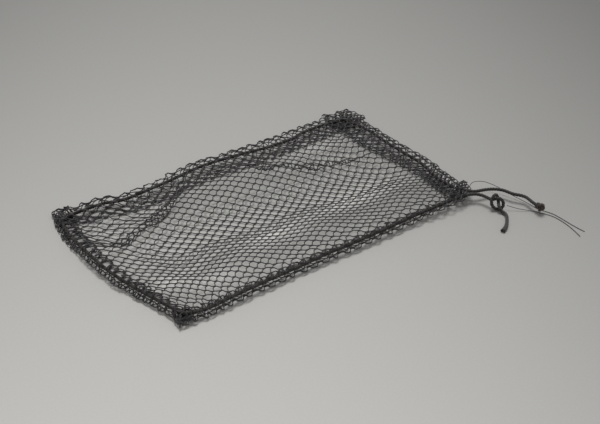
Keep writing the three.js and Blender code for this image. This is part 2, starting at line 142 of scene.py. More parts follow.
class Tree:
    """A node tree, with one method that adds any node."""

    def __init__(self, tree):
        self.tree = tree

    def node(self, kind, settings=None, values=None, output=0):
        made = self.tree.nodes.new(kind)
        for name, setting in (settings or {}).items():
            setattr(made, name, setting)
        for key, value in (values or {}).items():
            target = made.inputs[key]
            if isinstance(value, Value):
                self.tree.links.new(value.socket, target)
            else:
                target.default_value = value
        return Value(self, made.outputs[output]) if made.outputs else None


print("node trees take sums")

# %% [markdown]
# ## Materials that read the surface
#
# Every finish here starts the same way: a Principled shader and an output. What varies over a surface
# goes into Base Color, Roughness or a bump, and what is the same all over is set on the shader itself.

# %% Start a material
MIX_FACTOR, MIX_A, MIX_B, MIX_COLOUR = 0, 6, 7, 2


def colour(red, green, blue):
    """A screen colour, 0 to 255, as the linear colour that shaders use."""
    shares = [channel / 255 for channel in (red, green, blue)]
    linear = [s / 12.92 if s <= 0.04045 else ((s + 0.055) / 1.055) ** 2.4 for s in shares]
    return (*linear, 1.0)


def mixed(tree, factor, low, high):
    """A colour between two others."""
    values = {MIX_FACTOR: factor, MIX_A: low, MIX_B: high}
    return tree.node("ShaderNodeMix", {"data_type": "RGBA"}, values, MIX_COLOUR)


def finish_material(name, paint, **constants):
    """A Principled material. paint(tree) gives what varies, constants are set on the shader."""
    material = bpy.data.materials.new(name)
    material.use_nodes = True
    material.node_tree.nodes.clear()
    tree = Tree(material.node_tree)
    varying = paint(tree)
    shader = tree.node("ShaderNodeBsdfPrincipled", None, {**constants, **varying})
    tree.node("ShaderNodeOutputMaterial", None, {"Surface": shader})
    print("material:", name, len(material.node_tree.nodes), "nodes")
    return material


print("a material starts with a shader and an output")

# %% [markdown]
# ## The table
#
# The net lies on a pale matt surface in a pool of light: brightest in front of the net, darker to the
# sides and away from the viewer. The pool is painted on the table, as a colour that falls off from its
# middle. Here and there small brighter patches of the table show through the meshes. They are painted
# as well, because a lamp for each of them would light the yarn too.

# %% Make the table
POOL_LIGHT = 0.5
POOL_SIDE = -0.041
POOL_WIDTH = 0.381
POOL_AWAY = 1.174
POOL_AWAY_TWICE = 0.58
TABLE_TINT = (1.0, 0.99, 0.953, 1.0)
TABLE_HALF = 3.0
TABLE_GRAIN = 900.0
GRAIN_LOW = 0.95
GRAIN_SPAN = 0.1
TABLE_PALEST = 0.95

# Columns: x, y, reach along x, reach along y, gain
LIGHT_PATCHES = [
    (-0.012, -0.024, 0.018, 0.0065, 0.58),
    (0.048, -0.0205, 0.030, 0.0065, 0.62),
    (-0.078, -0.026, 0.014, 0.005, 0.5),
    (0.065, 0.037, 0.017, 0.0065, 0.3),
    (-0.056, -0.036, 0.015, 0.006, 0.35),
]

side_x, side_y = math.cos(CAMERA_TURN), math.sin(CAMERA_TURN)


def paint_table(tree):
    place = tree.node("ShaderNodeTexCoord").out("Object")
    split = tree.node("ShaderNodeSeparateXYZ", None, {0: place})
    x, y = split.out("X"), split.out("Y")
    across = (x * side_x + y * side_y - POOL_SIDE) / POOL_WIDTH
    away = y * side_x - x * side_y
    fall = across * across + away * POOL_AWAY + away * away * POOL_AWAY_TWICE
    pool = (fall * -1.0).math("EXPONENT") * POOL_LIGHT
    grain = tree.node("ShaderNodeTexNoise", None, {"Vector": place, "Scale": TABLE_GRAIN, "Detail": 4.0})
    light = pool * (GRAIN_LOW + GRAIN_SPAN * grain)
    for patch_x, patch_y, reach_x, reach_y, gain in LIGHT_PATCHES:
        off_x, off_y = (x - patch_x) / reach_x, (y - patch_y) / reach_y
        light = light * (1.0 + ((off_x * off_x + off_y * off_y) * -1.0).math("EXPONENT") * gain)
    black = (0.0, 0.0, 0.0, 1.0)
    return {"Base Color": mixed(tree, light.math("MINIMUM", TABLE_PALEST), black, TABLE_TINT)}


table_mesh = bpy.data.meshes.new("table")
table_corners = [(x * TABLE_HALF, y * TABLE_HALF, 0.0) for x, y in ((-1, -1), (1, -1), (1, 1), (-1, 1))]
table_mesh.from_pydata(table_corners, [], [(0, 1, 2, 3)])
table = bpy.data.objects.new("table", table_mesh)
scene.collection.objects.link(table)
table_mesh.materials.append(finish_material("table_matt", paint_table, Roughness=0.75))
table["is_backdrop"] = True
print("table", 2 * TABLE_HALF, "m wide")

# %% [markdown]
# ## The lamp and the room
#
# A large soft lamp hangs behind the net, so shadows fall towards the viewer. A sun lamp with a wide
# angle gives the same soft edge, and a grey world stands for the light that the room throws back. The
# wide angle matters here: under a small lamp every mesh would draw its own shadow on the table.

# %% Light the table
LAMP_FROM = (0.55, 0.80)
LAMP_ABOVE = math.radians(64.0)
LAMP_ANGLE = math.radians(28.0)
LAMP_STRENGTH = 1.75
WORLD_STRENGTH = 0.36
ROOM_TINT = (1.0, 0.99, 0.98, 1.0)

sun = bpy.data.lights.new("lamp", "SUN")
sun.energy = LAMP_STRENGTH
sun.angle = LAMP_ANGLE
lamp = bpy.data.objects.new("lamp", sun)
lamp.rotation_euler = (math.pi / 2 - LAMP_ABOVE, 0.0, math.atan2(LAMP_FROM[0], -LAMP_FROM[1]))
scene.collection.objects.link(lamp)

world = bpy.data.worlds.new("room")
world.use_nodes = True
background = world.node_tree.nodes["Background"]
background.inputs["Color"].default_value = ROOM_TINT
background.inputs["Strength"].default_value = WORLD_STRENGTH
scene.world = world
scene.view_settings.view_transform = "Standard"
print("lamp", LAMP_STRENGTH, "world", WORLD_STRENGTH)

# %% [markdown]
# ## Geometry Nodes, from a line to a piece
#
# Cords, threads and the netting are all yarn that follows lines. A Geometry Nodes tree makes each of
# them, with its sizes as named inputs, so the same tree gives the thick cord and the thin thread. The
# result is turned into a plain mesh at once, and the modifier is taken off again.

# %% Start a geometry tree and run it
SOCKETS = {
    float: "NodeSocketFloat",
    int: "NodeSocketInt",
    bool: "NodeSocketBool",
    bpy.types.Material: "NodeSocketMaterial",
}


def geometry_tree(name, inputs):
    """A new tree, its group input, and its named sizes as values for sums."""
    group = bpy.data.node_groups.new(name, "GeometryNodeTree")
    group.interface.new_socket("Geometry", in_out="INPUT", socket_type="NodeSocketGeometry")
    for label, kind in inputs.items():
        group.interface.new_socket(label, in_out="INPUT", socket_type=SOCKETS[kind])
    group.interface.new_socket("Geometry", in_out="OUTPUT", socket_type="NodeSocketGeometry")
    tree = Tree(group)
    entry = tree.node("NodeGroupInput")
    return tree, entry, {label: entry.out(label) for label in inputs}


def close_tree(tree, geometry, material):
    """Every tree ends in real faces with a finish on them."""
    smooth = tree.node("GeometryNodeSetShadeSmooth", None, {0: geometry})
    real = tree.node("GeometryNodeRealizeInstances", None, {0: smooth})
    dressed = tree.node("GeometryNodeSetMaterial", None, {0: real, "Material": material})
    tree.node("NodeGroupOutput", None, {0: dressed})
    return tree.tree


def grow(name, mesh, group, sizes):
    """Runs a tree on a mesh, and leaves a plain mesh object with no modifier."""
    piece = bpy.data.objects.new(name, mesh)
    scene.collection.objects.link(piece)
    modifier = piece.modifiers.new(group.name, "NODES")
    modifier.node_group = group
    for item in group.interface.items_tree:
        if item.in_out == "INPUT" and item.name in sizes:
            modifier[item.identifier] = sizes[item.name]
    made = piece.evaluated_get(bpy.context.evaluated_depsgraph_get())
    final = bpy.data.meshes.new_from_object(made)
    piece.modifiers.clear()
    piece.data = final
    final.name = name
    bpy.data.meshes.remove(mesh)
    print(name, sum(len(face.vertices) - 2 for face in final.polygons), "triangles")
    return piece


def line_mesh(name, points, closed=False):
    """Points joined by edges, in metres."""
    count = len(points)
    edges = [(k, (k + 1) % count) for k in range(count if closed else count - 1)]
    mesh = bpy.data.meshes.new(name)
    mesh.from_pydata([tuple(point) for point in points], edges, [])
    return mesh


print("geometry trees are ready")

# %% [markdown]
# ## How the cloth lies
#
# The cloth is not flat and not straight. Each folded edge bows in and out a little, which the four
# tables give, row by row, as the distance that the edge stands outside a plain rectangle. The same
# tables are in the part's source, so the netting made here lies on its solid.

# %% Bow the four edges
HALF_LENGTH = 102.0
HALF_WIDTH = 62.0
EDGE_REACH = 50.0
MIDDLE_X = 1.4
MIDDLE_Y = 1.7

# Columns: along the edge, out from the rectangle
FAR_EDGE = [
    (-102, 5.0), (-86, 2.1), (-73, 2.2), (-56, -3.7), (-40, -3.1), (-17, 0.2), (-4, 1.6), (12, -0.5),
    (33, -1.5), (54, -1.7), (69, -0.7), (86, 0.3), (102, 0.2),
]
RIGHT_EDGE = [(-62, -1.6), (-40, 0.1), (-17, 2.8), (15, 2.7), (36, 4.2), (62, 4.7)]
NEAR_EDGE = [
    (-102, -0.9), (-80, 0.4), (-42, -0.5), (-19, -1.0), (32, -0.3), (60, -0.6), (90, 0.1), (102, -3.0),
]
LEFT_EDGE = [
    (-62, -7.8), (-51, -8.7), (-40, -6.9), (-26, -3.4), (-9, 0.6), (9, 1.8), (35, 1.6), (49, -0.6),
    (62, -4.6),
]


def smoothstep(value, low, high):
    share = np.clip((value - low) / (high - low), 0.0, 1.0)
    return share * share * (3 - 2 * share)


def lerp(low, high, share):
    return low + (high - low) * share


def table_value(rows, at):
    """Reads a table with a smooth run from each row to the next."""
    along, out = np.array(rows, float).T
    after = np.clip(np.searchsorted(along, at), 1, len(along) - 1)
    share = smoothstep(at, along[after - 1], along[after])
    return lerp(out[after - 1], out[after], share)


def plan(u, v):
    """Cloth coordinates on the plain rectangle to the true place, in millimetres.

    The middle of the whole net is the origin.
    """
    fades = [1 - smoothstep(inside, 0, EDGE_REACH)
             for inside in (HALF_LENGTH - u, HALF_LENGTH + u, HALF_WIDTH - v, HALF_WIDTH + v)]
    right = table_value(RIGHT_EDGE, v) * fades[0]
    left = table_value(LEFT_EDGE, v) * fades[1]
    far = table_value(FAR_EDGE, u) * fades[2]
    near = table_value(NEAR_EDGE, u) * fades[3]
    return u + right - left - MIDDLE_X, v + far - near - MIDDLE_Y


print("corner of the net at", [round(float(c), 1) for c in plan(HALF_LENGTH, -HALF_WIDTH)], "mm")

# %% [markdown]
# ## How high the hem stands
#
# The springy netting holds the folded edge a few millimetres off the table. From the fold the upper
# layer runs inwards and the flap comes down and lands on the table. The hem is widest on the far side
# and narrower on the near side and the left end. Waves lift and lower it between the corners, and two
# corners lie almost flat.

# %% Lift the hem
HEM_WIDTH = 18.0
NEAR_HEM_WIDTH = 13.0
LEFT_HEM_WIDTH = 13.4
NARROW_BELOW = -34.0
WIDE_ABOVE = 40.0
LEFT_END_FROM = 78.0
LEFT_END_FULL = 98.0
CASING_GAP = 4.2
SEAM_GAP = 2.2
CASING_FULL = 8.0
HEM_LIFT = 4.6
HEM_THICK = 1.3
RIM_TILT = 0.4
SEAM_TILT = 0.9
FLAP_LANDS = 0.68
CORNER_NEAR = 20.0
CORNER_FAR = 50.0

# Columns: u, v, share of the lift that the corner keeps
CORNERS = [
    (HALF_LENGTH, HALF_WIDTH, 0.05), (-HALF_LENGTH, HALF_WIDTH, 0.05),
    (-HALF_LENGTH, -HALF_WIDTH, 0.75), (HALF_LENGTH, -HALF_WIDTH, 1.0),
]
# Columns: u, v, reach, rise
HEM_WAVES = [
    (-60, 58, 22, -2.4), (-4, 60, 36, -1.7), (52, 58, 22, -1.8), (100, 20, 26, -1.9),
    (34, -62, 17, 0.8), (-22, -62, 15, -0.8), (-64, -62, 12, 0.5), (-102, 14, 14, 0.8),
    (-98, -26, 11, -0.8),
]


def hem_width(u, v):
    """Widest on the far side, narrower towards the near one and the left end."""
    across_net = lerp(NEAR_HEM_WIDTH, HEM_WIDTH, smoothstep(v, NARROW_BELOW, WIDE_ABOVE))
    return lerp(across_net, LEFT_HEM_WIDTH, smoothstep(-u, LEFT_END_FROM, LEFT_END_FULL))


def hem_lift(u, v):
    rise = np.full(np.shape(u), HEM_LIFT)
    for wave_u, wave_v, reach, height in HEM_WAVES:
        rise = rise + height * np.exp(-((u - wave_u) ** 2 + (v - wave_v) ** 2) / reach**2)
    for corner_u, corner_v, keeps in CORNERS:
        away = np.hypot(u - corner_u, v - corner_v)
        rise = rise * lerp(keeps, 1.0, smoothstep(away, CORNER_NEAR, CORNER_FAR))
    return rise


def flap_height(u, v, inset):
    landed = smoothstep(inset, 0, FLAP_LANDS * hem_width(u, v))
    return HEM_THICK / 2 + hem_lift(u, v) * RIM_TILT * (1 - landed)


def hem_top_height(u, v, inset):
    tilt = lerp(RIM_TILT, SEAM_TILT, inset / HEM_WIDTH)
    gap = lerp(CASING_GAP, SEAM_GAP, smoothstep(inset, CASING_FULL, hem_width(u, v)))
    return HEM_THICK / 2 + hem_lift(u, v) * tilt + gap


middle_lift = float(hem_lift(np.array(0.0), np.array(-HALF_WIDTH)))
print("hem lift in the middle of the near side", round(middle_lift, 2), "mm")

# %% [markdown]
# ## How the panel sags
#
# Between the hems the panel sags until it touches the table along a valley. The side towards the
# viewer is steeper and ripples, and a few creases run across it, each a soft ridge with the cloth a
# little lower on its far side.

# %% Sag the panel
PANEL_THICK = 1.0
VALLEY_V = -6.5
VALLEY_TURN = -0.085
FAR_SLOPE = 0.23
FAR_SOFT = 8.0
NEAR_SLOPE = 0.42
NEAR_SOFT = 3.0
NEAR_RISE = 7.0
RIPPLE_SHARE = 0.18
RIPPLE_PITCH = 54.0
RIPPLE_AT = -42.0
SIDE_REACH = 18.0
END_REACH = 30.0
CREASE_TAPER = 0.2
CREASE_FADE = 8.0

# Columns: u and v of both ends, rise, half width, sag beyond it, reach of the sag
CREASES = [
    (-84, 14, -20, 47, 0.5, 6, 3.4, 18),
    (12, 37, 68, 9, 0.6, 6, 3.6, 20),
    (-80, -30, -50, -46, 0.3, 4, 0.8, 8),
    (-30, -23, 2, -26, 0.2, 4, 0.6, 9),
    (26, -21, 76, -28, 0.3, 4, 0.6, 8),
]


def crease_height(row, u, v):
    u0, v0, u1, v1, rise, half, sag, sag_reach = row
    du, dv = u1 - u0, v1 - v0
    length = math.hypot(du, dv)
    along = ((u - u0) * du + (v - v0) * dv) / length**2
    beyond = ((v - v0) * du - (u - u0) * dv) / length
    fade_in = smoothstep(along, -CREASE_TAPER, CREASE_TAPER)
    fade_out = smoothstep(1 - along, -CREASE_TAPER, CREASE_TAPER)
    ridge = rise * np.exp(-((beyond / half) ** 2))
    return (ridge - sag * smoothstep(beyond, 0, sag_reach)) * fade_in * fade_out


def basin_height(u, v):
    across = v - VALLEY_V - VALLEY_TURN * u
    ripple = 1 + RIPPLE_SHARE * np.cos(2 * math.pi * (u - RIPPLE_AT) / RIPPLE_PITCH)
    far = FAR_SLOPE * (np.hypot(across, FAR_SOFT) - FAR_SOFT)
    run = np.hypot(across, NEAR_SOFT) - NEAR_SOFT
    near = NEAR_RISE * ripple * (1 - np.exp(-run * NEAR_SLOPE / NEAR_RISE))
    return PANEL_THICK / 2 + np.where(across > 0, far, near)


def pull_towards(inside, width, reach):
    """How much the hem holds the panel up, from all at the hem's inner edge to nothing."""
    return (1 - np.clip((inside - width) / reach, 0, 1)) ** 2


def top_height(u, v):
    """The middle of the upper layer: the panel, running up over the hem to the fold."""
    inset = np.maximum(np.minimum(HALF_LENGTH - np.abs(u), HALF_WIDTH - np.abs(v)), 0)
    width = hem_width(u, v)
    end_pull = pull_towards(HALF_LENGTH - np.abs(u), width, END_REACH)
    side_pull = pull_towards(HALF_WIDTH - np.abs(v), width, SIDE_REACH)
    pull = 1 - (1 - end_pull) * (1 - side_pull)
    panel = lerp(basin_height(u, v), hem_top_height(u, v, width), pull)
    creases = sum(crease_height(row, u, v) for row in CREASES)
    panel = panel + creases * smoothstep(inset, width, width + CREASE_FADE)
    panel = np.maximum(panel, PANEL_THICK / 2)
    return np.where(inset < width, hem_top_height(u, v, np.minimum(inset, width)), panel)


print("panel at the middle", round(float(top_height(np.array(0.0), np.array(0.0))), 2), "mm up")

# %% [markdown]
# ## A braided cord
#
# The drawcord is a small round cord of polyester, dull and dark. Its strands run mostly one way round,
# with a fainter crossing of the others. A bump map would give the strands in the middle of the cord
# but leave its outline smooth, so the tree moves the tube's own points. One input says how strongly the
# strands cross, down to none in a twisted thread, and another how far a cut end flares, where the
# strands spread. What would sink into the table is pressed flat on it, as a soft cord is.

# %% Build the cord tree
SURFACE_CLEAR = 0.00002
FLARE_FROM = 0.88
RIDGE_MIDDLE = 0.75

cord_inputs = {
    "Diameter": float, "Sides": int, "Strands": int, "Lay": float, "Relief": float, "Cross": float,
    "Flare": float, "Material": bpy.types.Material,
}


def vector(tree, x=0.0, y=0.0, z=0.0):
    """Three numbers as one place or move."""
    return tree.node("ShaderNodeCombineXYZ", None, {0: x, 1: y, 2: z})


def stored(tree, geometry, name, value, domain="POINT"):
    """The geometry, with a number kept on all its points under a name."""
    settings = {"data_type": "FLOAT", "domain": domain}
    values = {0: geometry, "Name": name, "Value": value}
    return tree.node("GeometryNodeStoreNamedAttribute", settings, values)


def kept_as(tree, name, kind="FLOAT"):
    """What was kept under a name."""
    return tree.node("GeometryNodeInputNamedAttribute", {"data_type": kind}, {"Name": name})


tree, entry, size = geometry_tree("braid_a_cord", cord_inputs)
spline = tree.node("GeometryNodeSplineParameter")
curve = tree.node("GeometryNodeMeshToCurve", None, {0: entry})
curve = stored(tree, curve, "along", spline.out("Length"))
ring = tree.node("GeometryNodeCurvePrimitiveCircle", None, {
    "Resolution": size["Sides"], "Radius": size["Diameter"] * 0.5,
})
ring = stored(tree, ring, "around", spline)
to_end = (spline - FLARE_FROM).math("MAXIMUM", 0.0) / (1.0 - FLARE_FROM)
tube = tree.node("GeometryNodeCurveToMesh", None, {
    "Curve": curve, "Profile Curve": ring, "Scale": to_end * size["Flare"] + 1.0, "Fill Caps": True,
})
run = kept_as(tree, "along") / size["Lay"]
lead = kept_as(tree, "around") * size["Strands"]
one_way = abs(((lead + run) * math.pi).math("COSINE"))
other_way = abs(((lead - run) * math.pi).math("COSINE")) * size["Cross"]
ridge = one_way.math("MAXIMUM", other_way)
tube = stored(tree, tube, "ridge", ridge)
outward = tree.node("GeometryNodeInputNormal")
rise = (ridge - RIDGE_MIDDLE) * size["Relief"] * size["Diameter"]
shift = tree.node("ShaderNodeVectorMath", {"operation": "SCALE"}, {0: outward, "Scale": rise})
tube = tree.node("GeometryNodeSetPosition", None, {0: tube, "Offset": shift})
height = tree.node("ShaderNodeSeparateXYZ", None, {0: tree.node("GeometryNodeInputPosition")}).out("Z")
pressed = vector(tree, 0.0, 0.0, (SURFACE_CLEAR - height).math("MAXIMUM", 0.0))
tube = tree.node("GeometryNodeSetPosition", None, {0: tube, "Offset": pressed})
braid_tree = close_tree(tree, tube, size["Material"])
print("braid_a_cord:", len(braid_tree.nodes), "nodes")

# %% [markdown]
# ## The cord's finish
#
# The cord is charcoal with a slight olive cast, and dull. Its colour is painted darker in the grooves
# between its strands, as painted shade, and paler on their crowns, as a painted highlight. The tree stored
# how high each point stands, and the material reads that as an attribute, so the painted shade and
# highlight follow the strands round every bend. Inside the hem the cord gets less painted shade in its
# grooves, the stopper knot is browner, and the thread is a little paler.

# %% Paint the cord and the thread
# Groove colours carry painted shade and crown colours a painted highlight; their hues are the cord's own.
CORD_GROOVE_SHADED = colour(20, 19, 18)
CORD_CROWN_LIT = colour(76, 74, 69)
CASED_GROOVE_SHADED = colour(35, 34, 33)
CASED_CROWN_LIT = colour(79, 76, 73)
STOPPER_GROOVE_SHADED = colour(38, 30, 27)
STOPPER_CROWN_LIT = colour(92, 76, 68)
THREAD_GROOVE_SHADED = colour(38, 37, 37)
THREAD_CROWN_LIT = colour(84, 83, 82)
FIBRE_SCALE = 2600.0
CROWN_HIGHLIGHT_SHARE = 0.75
FIBRE_SHARE = 0.7


def paint_strands(groove_shaded, crown_lit):
    def paint(tree):
        place = tree.node("ShaderNodeTexCoord").out("Object")
        ridge = tree.node("ShaderNodeAttribute", {"attribute_name": "ridge"}).out("Fac")
        grain = {"Vector": place, "Scale": FIBRE_SCALE, "Detail": 3.0}
        fibre = tree.node("ShaderNodeTexNoise", None, grain)
        # Painted shade in the grooves and a painted highlight on the crowns, plus the fibres' own grain.
        height = ridge**2 * CROWN_HIGHLIGHT_SHARE + (fibre - 0.5) * FIBRE_SHARE
        bump = tree.node("ShaderNodeBump", None, {"Height": fibre, "Strength": 0.5, "Distance": 0.0001})
        return {
            "Base Color": mixed(tree, height.math("MAXIMUM", 0.0).math("MINIMUM", 1.0), groove_shaded, crown_lit),
            "Roughness": 0.68 + fibre * 0.2,
            "Normal": bump,
        }

    return paint


sheen = {"Sheen Weight": 0.25, "Sheen Roughness": 0.5}
cord_braid = finish_material("cord_braid", paint_strands(CORD_GROOVE_SHADED, CORD_CROWN_LIT), **sheen)
# The cord inside the hem: the same cord, with less painted shade in its grooves.
cased_braid_less_shade = finish_material("cased_braid_less_shade", paint_strands(CASED_GROOVE_SHADED, CASED_CROWN_LIT))
stopper_braid = finish_material("stopper_braid", paint_strands(STOPPER_GROOVE_SHADED, STOPPER_CROWN_LIT), **sheen)
thread_twist = finish_material("thread_twist", paint_strands(THREAD_GROOVE_SHADED, THREAD_CROWN_LIT), **sheen)

# %% [markdown]
# ## Routes of the cords
#
# A cord takes the shape that it was left in, so its route is a list of points, the same list as in the
# part's source. A smooth curve through the points is worked out with the Catmull-Rom formula, which passes
# through every one of them.

# %% Smooth a route
CORD_DIAMETER = 1.8
CORD_STRANDS = 3
CORD_LAY = 0.9
CORD_RELIEF = 0.2
CORD_CROSS = 0.3
ROUTE_STEP = 0.3
STEPS_PER_SPAN = 24


def smooth_route(points, step, closed=False):
    """A curve through all the points, with its own points an even step apart, in millimetres."""
    points = np.array(points, float)
    if closed:
        padded = np.vstack([points[-1:], points, points[:2]])
    else:
        padded = np.vstack([2 * points[0] - points[1], points, 2 * points[-1] - points[-2]])
    share = np.linspace(0, 1, STEPS_PER_SPAN, endpoint=False)[:, None]
    dense = []
    for before, start, end, after in zip(padded, padded[1:], padded[2:], padded[3:]):
        bend = 2 * before - 5 * start + 4 * end - after
        swing = 3 * start - before - 3 * end + after
        dense.append(start + 0.5 * share * (end - before + share * (bend + share * swing)))
    dense = np.vstack([*dense, padded[-2:-1]])
    along = np.concatenate([[0], np.cumsum(np.linalg.norm(np.diff(dense, axis=0), axis=1))])
    even = np.linspace(0, along[-1], max(2, round(along[-1] / step) + 1))
    even = even[:-1] if closed else even
    return np.stack([np.interp(even, along, dense[:, axis]) for axis in range(3)], axis=1)


def route_length(route):
    return float(np.linalg.norm(np.diff(route, axis=0), axis=1).sum())


def braided_piece(name, route, diameter, material, closed=False, sides=16, flare=0.0):
    """A length of braided cord along a route in millimetres, as a piece that rides on the net."""
    sizes = {
        "Diameter": diameter * MM, "Sides": sides, "Strands": CORD_STRANDS, "Lay": CORD_LAY * diameter * MM,
        "Relief": CORD_RELIEF, "Cross": CORD_CROSS, "Flare": flare, "Material": material,
    }
    piece = grow(name, line_mesh(name, route * MM, closed), braid_tree, sizes)
    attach(piece, "root")
    return piece


print("routes step", ROUTE_STEP, "mm")

# %% [markdown]
# ## The drawcord
#
# Inside the hem the cord lies between the two layers of netting and wanders a little from side to
# side. Each table row says how far it lies from the folded edge there. It shows through the meshes as
# a dark line, which is why it is made for its whole length and not only where it comes out.

# %% Run the drawcord round the hem
# Columns: along the edge, inset from the folded edge
CORD_ON_RIGHT = [
    (-49.8, 6.0), (-36, 7.4), (-18, 6.2), (0, 5.9), (15, 5.6), (30, 5.3), (42, 6.2), (51, 8.4),
]
CORD_ON_FAR = [
    (93, 9.2), (85, 7.8), (76, 6.5), (65, 7.3), (55, 9.1), (38, 8.7), (25, 7.1), (13, 6.1), (-6, 6.6),
    (-28, 6.6), (-42, 5.9), (-58, 5.9), (-70, 7.1), (-82, 6.5), (-91, 7.6),
]
CORD_ON_LEFT = [(52, 6.5), (40, 4.8), (20, 4.4), (0, 4.4), (-20, 4.4), (-40, 4.8), (-52, 6.5)]
CORD_ON_NEAR = [
    (-92, 6.5), (-80, 4.8), (-60, 4.4), (-40, 4.6), (-20, 4.4), (0, 4.8), (20, 4.4), (40, 4.5),
    (60, 4.8), (74, 4.8), (86.4, 4.8),
]


def in_casing(u, v, inset):
    """A point of the cord, half way between the flap and the upper layer."""
    u, v = np.array(float(u)), np.array(float(v))
    middle = (flap_height(u, v, inset) + hem_top_height(u, v, inset)) / 2
    return [float(value) for value in (*plan(u, v), middle)]


drawcord_points = [in_casing(HALF_LENGTH - inset, along, inset) for along, inset in CORD_ON_RIGHT]
drawcord_points += [in_casing(along, HALF_WIDTH - inset, inset) for along, inset in CORD_ON_FAR]
drawcord_points += [in_casing(inset - HALF_LENGTH, along, inset) for along, inset in CORD_ON_LEFT]
drawcord_points += [in_casing(along, inset - HALF_WIDTH, inset) for along, inset in CORD_ON_NEAR]
drawcord_route = smooth_route(drawcord_points, 2 * ROUTE_STEP)
drawcord = braided_piece("drawcord_braid", drawcord_route, CORD_DIAMETER, cased_braid_less_shade, sides=12)
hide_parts("drawcord")
print("drawcord", round(route_length(drawcord_route)), "mm inside the hem")

# %% [markdown]
# ## The cord's long end
#
# The longer end leaves the hem at the corner and hangs a few millimetres above the table on its own
# stiffness. It is seen from end to end in the photograph, so its route was laid on that. How high it
# hangs is a guess from its shadow.

# %% Lay the long end
TIE_LONG_ROUTE = [
    (95.0, -52.4, 5.0), (95.5, -54.7, 5.0), (96.6, -57.3, 5.0), (98.1, -59.5, 5.0), (100.0, -61.0, 5.0),
    (102.6, -61.9, 5.0), (105.8, -62.9, 4.9), (108.7, -64.3, 4.8), (111.2, -66.1, 4.7),
    (113.2, -68.4, 4.6), (114.2, -70.9, 4.5), (115.0, -73.6, 4.4), (116.2, -75.9, 4.3),
    (117.6, -78.0, 4.3), (118.6, -80.0, 4.2), (118.8, -82.3, 4.2), (118.4, -85.0, 4.1),
    (118.1, -87.5, 4.0), (118.1, -89.2, 3.9),
]

tie_long_route = smooth_route(TIE_LONG_ROUTE, ROUTE_STEP)
tie_long = braided_piece("tie_long_braid", tie_long_route, CORD_DIAMETER, cord_braid)
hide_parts("tie_long")
print("long end", round(route_length(tie_long_route)), "mm")

# %% [markdown]
# ## The stopper knot
#
# A small tight knot keeps the long end from slipping back into the hem. It is a trefoil, the closed
# form of an overhand knot, drawn so tight that its turns press into each other. Just before it the cord
# is wrapped round itself, and a short spiral gives those turns. Both go with the long end.

# %% Tie the stopper knot
STOPPER_CENTRE = np.array([118.3, -93.1, 3.9])
STOPPER_RING = 1.15
STOPPER_TWIST = 0.72
STOPPER_CORD = 1.6
STOPPER_POINTS = 48
WRAP_TURNS = 2
WRAP_FROM = 1.7
WRAP_TO = 3.1
WRAP_RADIUS = 1.1
WRAP_CORD = 1.3
WRAP_POINTS = 40


def trefoil(ring, twist, turn):
    """A point of an overhand knot lying flat: two strands that twist round one ring."""
    reach = ring + twist * np.cos(3 * turn)
    return np.stack([reach * np.cos(2 * turn), reach * np.sin(2 * turn), twist * np.sin(3 * turn)], axis=-1)


stopper_turn = np.linspace(0, 2 * math.pi, STOPPER_POINTS, endpoint=False)
loops = trefoil(STOPPER_RING, STOPPER_TWIST, stopper_turn)
standing = loops[:, [0, 2, 1]]
stopper_route = smooth_route(STOPPER_CENTRE + standing, ROUTE_STEP / 2, closed=True)
stopper = braided_piece("stopper_knot_braid", stopper_route, STOPPER_CORD, stopper_braid, closed=True)
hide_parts("stopper_knot")

wrap_turn = np.linspace(0, 2 * math.pi * WRAP_TURNS, WRAP_POINTS)
wrap_along = np.linspace(WRAP_FROM, WRAP_TO, WRAP_POINTS)
wrap_round = WRAP_RADIUS * np.stack([np.cos(wrap_turn), 0 * wrap_turn, np.sin(wrap_turn)], axis=1)
wrap_points = STOPPER_CENTRE + wrap_round + np.outer(wrap_along, (0.0, 1.0, 0.0))
wrap_route = smooth_route(wrap_points, ROUTE_STEP / 2)
wrap = braided_piece("stopper_wrap_braid", wrap_route, WRAP_CORD, cord_braid)
print("stopper knot with", WRAP_TURNS, "wrapped turns")

# %% [markdown]
# ## The cord's short end
#
# The shorter end has a loose overhand knot in it: the cord makes a ring, goes once round its own
# standing part and leaves through the ring. The knot leans back on the table, so its points are
# placed on a leaning plane, with the third number lifting one strand over the other at each crossing.
# The tail comes down to the table and was cut off there, so its end flares.

# %% Lay the short end with its knot
TIE_SHORT_TO_KNOT = [
    (86.0, -59.3, 5.0), (89.1, -59.7, 5.0), (92.4, -60.5, 5.0), (95.4, -61.6, 5.0), (97.9, -63.1, 5.0),
    (99.7, -65.1, 4.8), (100.5, -67.6, 4.8), (100.8, -70.0, 4.8),
]
TIE_SHORT_TAIL = [
    (101.4, -82.9, 1.05), (100.2, -85.3, 1.0), (97.7, -88.0, 1.0), (94.8, -90.6, 1.0),
    (91.4, -92.9, 1.0), (88.3, -94.1, 1.0),
]
KNOT_CENTRE = np.array([102.3, -75.7, 4.1])
KNOT_TURN = math.radians(-36.9)
KNOT_LEAN = math.radians(40)
TAIL_FLARE = 0.4

# Columns: to the right on the leaning plane, up it, off it
KNOT_ROUTE = [
    (-2.9, 2.2, -1.05), (-1.3, 2.2, -0.3), (0.2, 2.2, 0.9), (1.9, 1.7, 1.0), (3.1, 0.3, 0.4),
    (3.1, -1.6, -0.4), (1.9, -3.1, -0.9), (0.2, -3.4, -1.05), (-1.9, -2.7, -0.5), (-3.2, -0.8, 0.2),
    (-3.1, 1.5, 0.9), (-2.0, 3.5, 1.3), (-0.6, 4.4, 0.5), (0.5, 3.6, -0.9), (0.8, 1.9, -1.2),
    (0.6, -0.6, -0.2), (0.8, -3.1, 1.1), (2.0, -5.1, 0.7),
]

